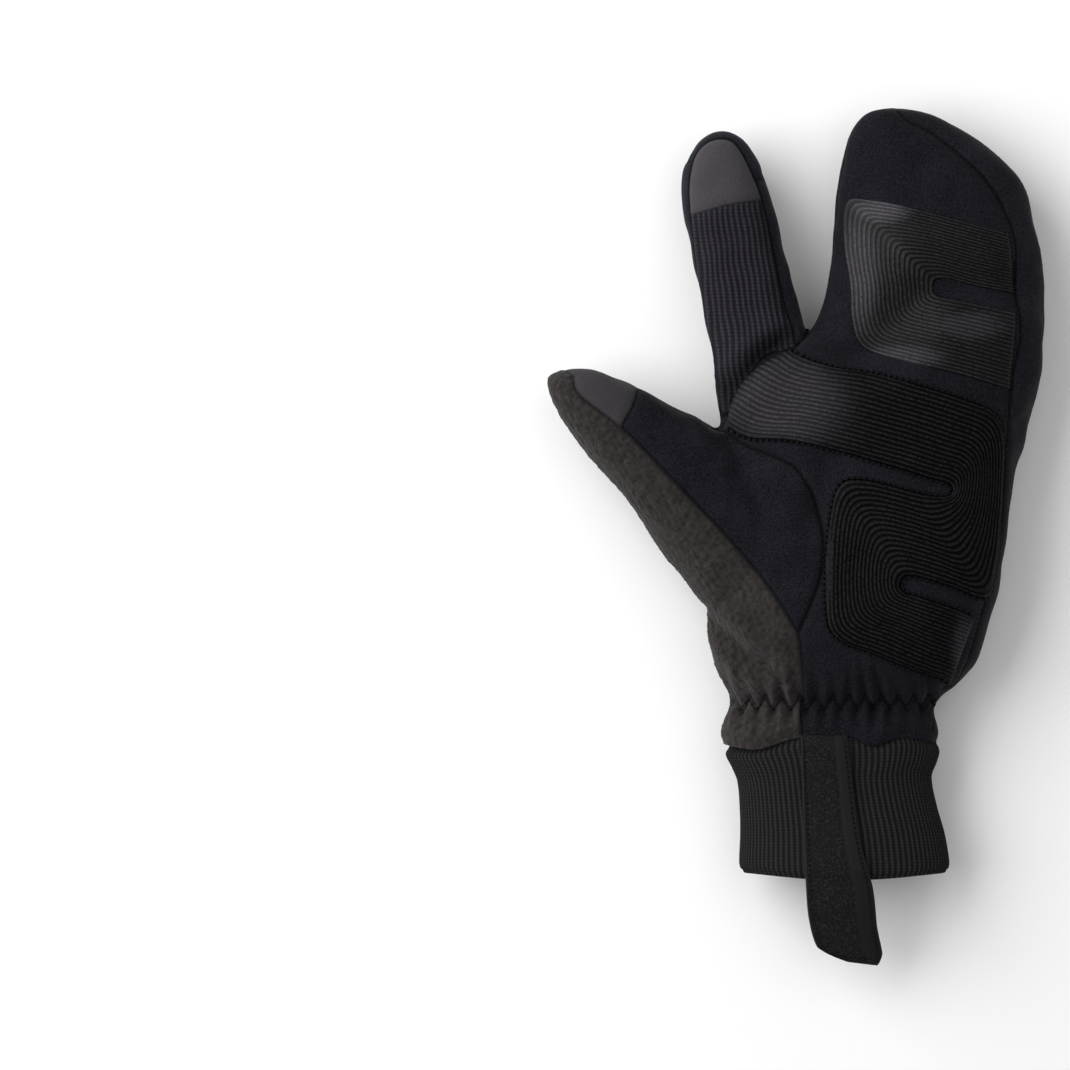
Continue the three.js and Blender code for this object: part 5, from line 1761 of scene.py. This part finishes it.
class MITT_OT_stage(bpy.types.Operator):
    """Lays the pale floor and sets the studio lights and the camera"""

    bl_idname = "mitt.stage"
    bl_label = "Set the stage"

    def execute(self, context):
        scene = context.scene
        bpy.ops.mesh.primitive_plane_add(size=FLOOR_SIZE, location=(0, 0, -FLOOR_DROP))
        floor = context.active_object
        floor.name = "floor"
        floor.data.materials.append(matt_paper("matt_paper", colour_of("floor")))
        for lamp in LAMPS:
            area_light(lamp)
        world = bpy.data.worlds.new("studio")
        scene.world = world
        world.use_nodes = True
        sky = world.node_tree.nodes["Background"]
        sky.inputs["Color"].default_value = linear("#ffffff")
        sky.inputs["Strength"].default_value = SKY
        scene.view_settings.view_transform = "Standard"
        camera = bpy.data.cameras.new("camera")
        camera.sensor_width = SENSOR
        camera.lens = LENS
        made = bpy.data.objects.new("camera", camera)
        made.location = (*FRAME_CENTRE, HAND_THICKNESS / 2 * MM + LENS / SENSOR * FRAME_WIDTH)
        scene.collection.objects.link(made)
        scene.camera = made
        return {"FINISHED"}


def length_prop(name, description, default, low, high):
    """A length in the sidebar, its default and range given in millimetres."""
    return FloatProperty(
        name=name, description=description, default=default * MM, min=low * MM, max=high * MM, unit="LENGTH",
        precision=4)


def colour_prop(name, description, hex_colour):
    """A colour in the sidebar, its default given in hex."""
    return FloatVectorProperty(
        name=name, description=description, default=linear(hex_colour), size=4, min=0.0, max=1.0,
        subtype="COLOR")


class MittSizes(bpy.types.PropertyGroup):
    """Sizes that a user would change"""

    wall: length_prop("Wall", "Thickness of the padded panels", 2.4, 1.0, 4.0)
    seam_depth: length_prop("Seam depth", "How far the seams pull in", 0.9, 0.0, 3.0)
    puff: length_prop("Puff", "Most that the stuffing moves the cloth", 1.1, 0.1, 6.0)
    piping: length_prop("Piping", "Thickness of the reflective piping", 1.7, 1.0, 3.0)
    cuff_ribs: IntProperty(
        name="Cuff ribs", description="Ribs round the knit cuff", default=102, min=60, max=160)


class MittColours(bpy.types.PropertyGroup):
    """Colours that a user would change"""

    softshell: colour_prop("Softshell", "Palm, thumb, sides and index finger", "#121117")
    weave: colour_prop("Back weave", "Woven shell of the back", "#121317")
    index_knit: colour_prop("Finger knit", "Ribbed knit of the index finger", "#2d2b31")
    touch: colour_prop("Touch patches", "Fingertip and thumb tip", "#3d3a3e")
    fleece: colour_prop("Fleece", "Outer side of the thumb", "#262221")
    grip: colour_prop("Grip", "Silicone ribs of the palm and the pocket", "#121113")
    cuff_knit: colour_prop("Cuff", "Rib knit of the cuff", "#292828")
    tab: colour_prop("Pull tab", "Strap on the cuff", "#151416")
    piping: colour_prop("Piping", "Reflective line on the back", "#77777d")
    thread: colour_prop("Thread", "Sewing thread", "#050506")
    floor: colour_prop("Floor", "Paper that the mitt lies on", "#f9f9f9")


class MITT_PT_sidebar(bpy.types.Panel):
    """The mitt's steps, sizes and colours"""

    bl_idname = "MITT_PT_sidebar"
    bl_label = "Lobster claw mitt"
    bl_space_type = "VIEW_3D"
    bl_region_type = "UI"
    bl_category = "Mitt"

    def draw(self, context):
        for group in (context.scene.mitt_sizes, context.scene.mitt_colours):
            for name in type(group).__annotations__:
                self.layout.prop(group, name)
        for step in STEPS:
            self.layout.operator(step.bl_idname)


STEPS = [
    MITT_OT_panels, MITT_OT_grip_patches, MITT_OT_piping, MITT_OT_cuff, MITT_OT_pull_tab, MITT_OT_stitching,
    MITT_OT_stage,
]
CLASSES = [MittSizes, MittColours, *STEPS, MITT_PT_sidebar]


def register():
    for each in CLASSES:
        bpy.utils.register_class(each)
    bpy.types.Scene.mitt_sizes = PointerProperty(type=MittSizes)
    bpy.types.Scene.mitt_colours = PointerProperty(type=MittColours)


def unregister():
    del bpy.types.Scene.mitt_sizes
    del bpy.types.Scene.mitt_colours
    for each in reversed(CLASSES):
        bpy.utils.unregister_class(each)


def main():
    """Makes the mitt step by step."""
    register()
    bpy.ops.object.select_all(action="DESELECT")
    bpy.ops.mitt.panels()
    bpy.ops.mitt.grip_patches()
    bpy.ops.mitt.piping()
    bpy.ops.mitt.cuff()
    bpy.ops.mitt.pull_tab()
    bpy.ops.mitt.stitching()
    bpy.ops.mitt.stage()


if __name__ == "__main__":
    main()
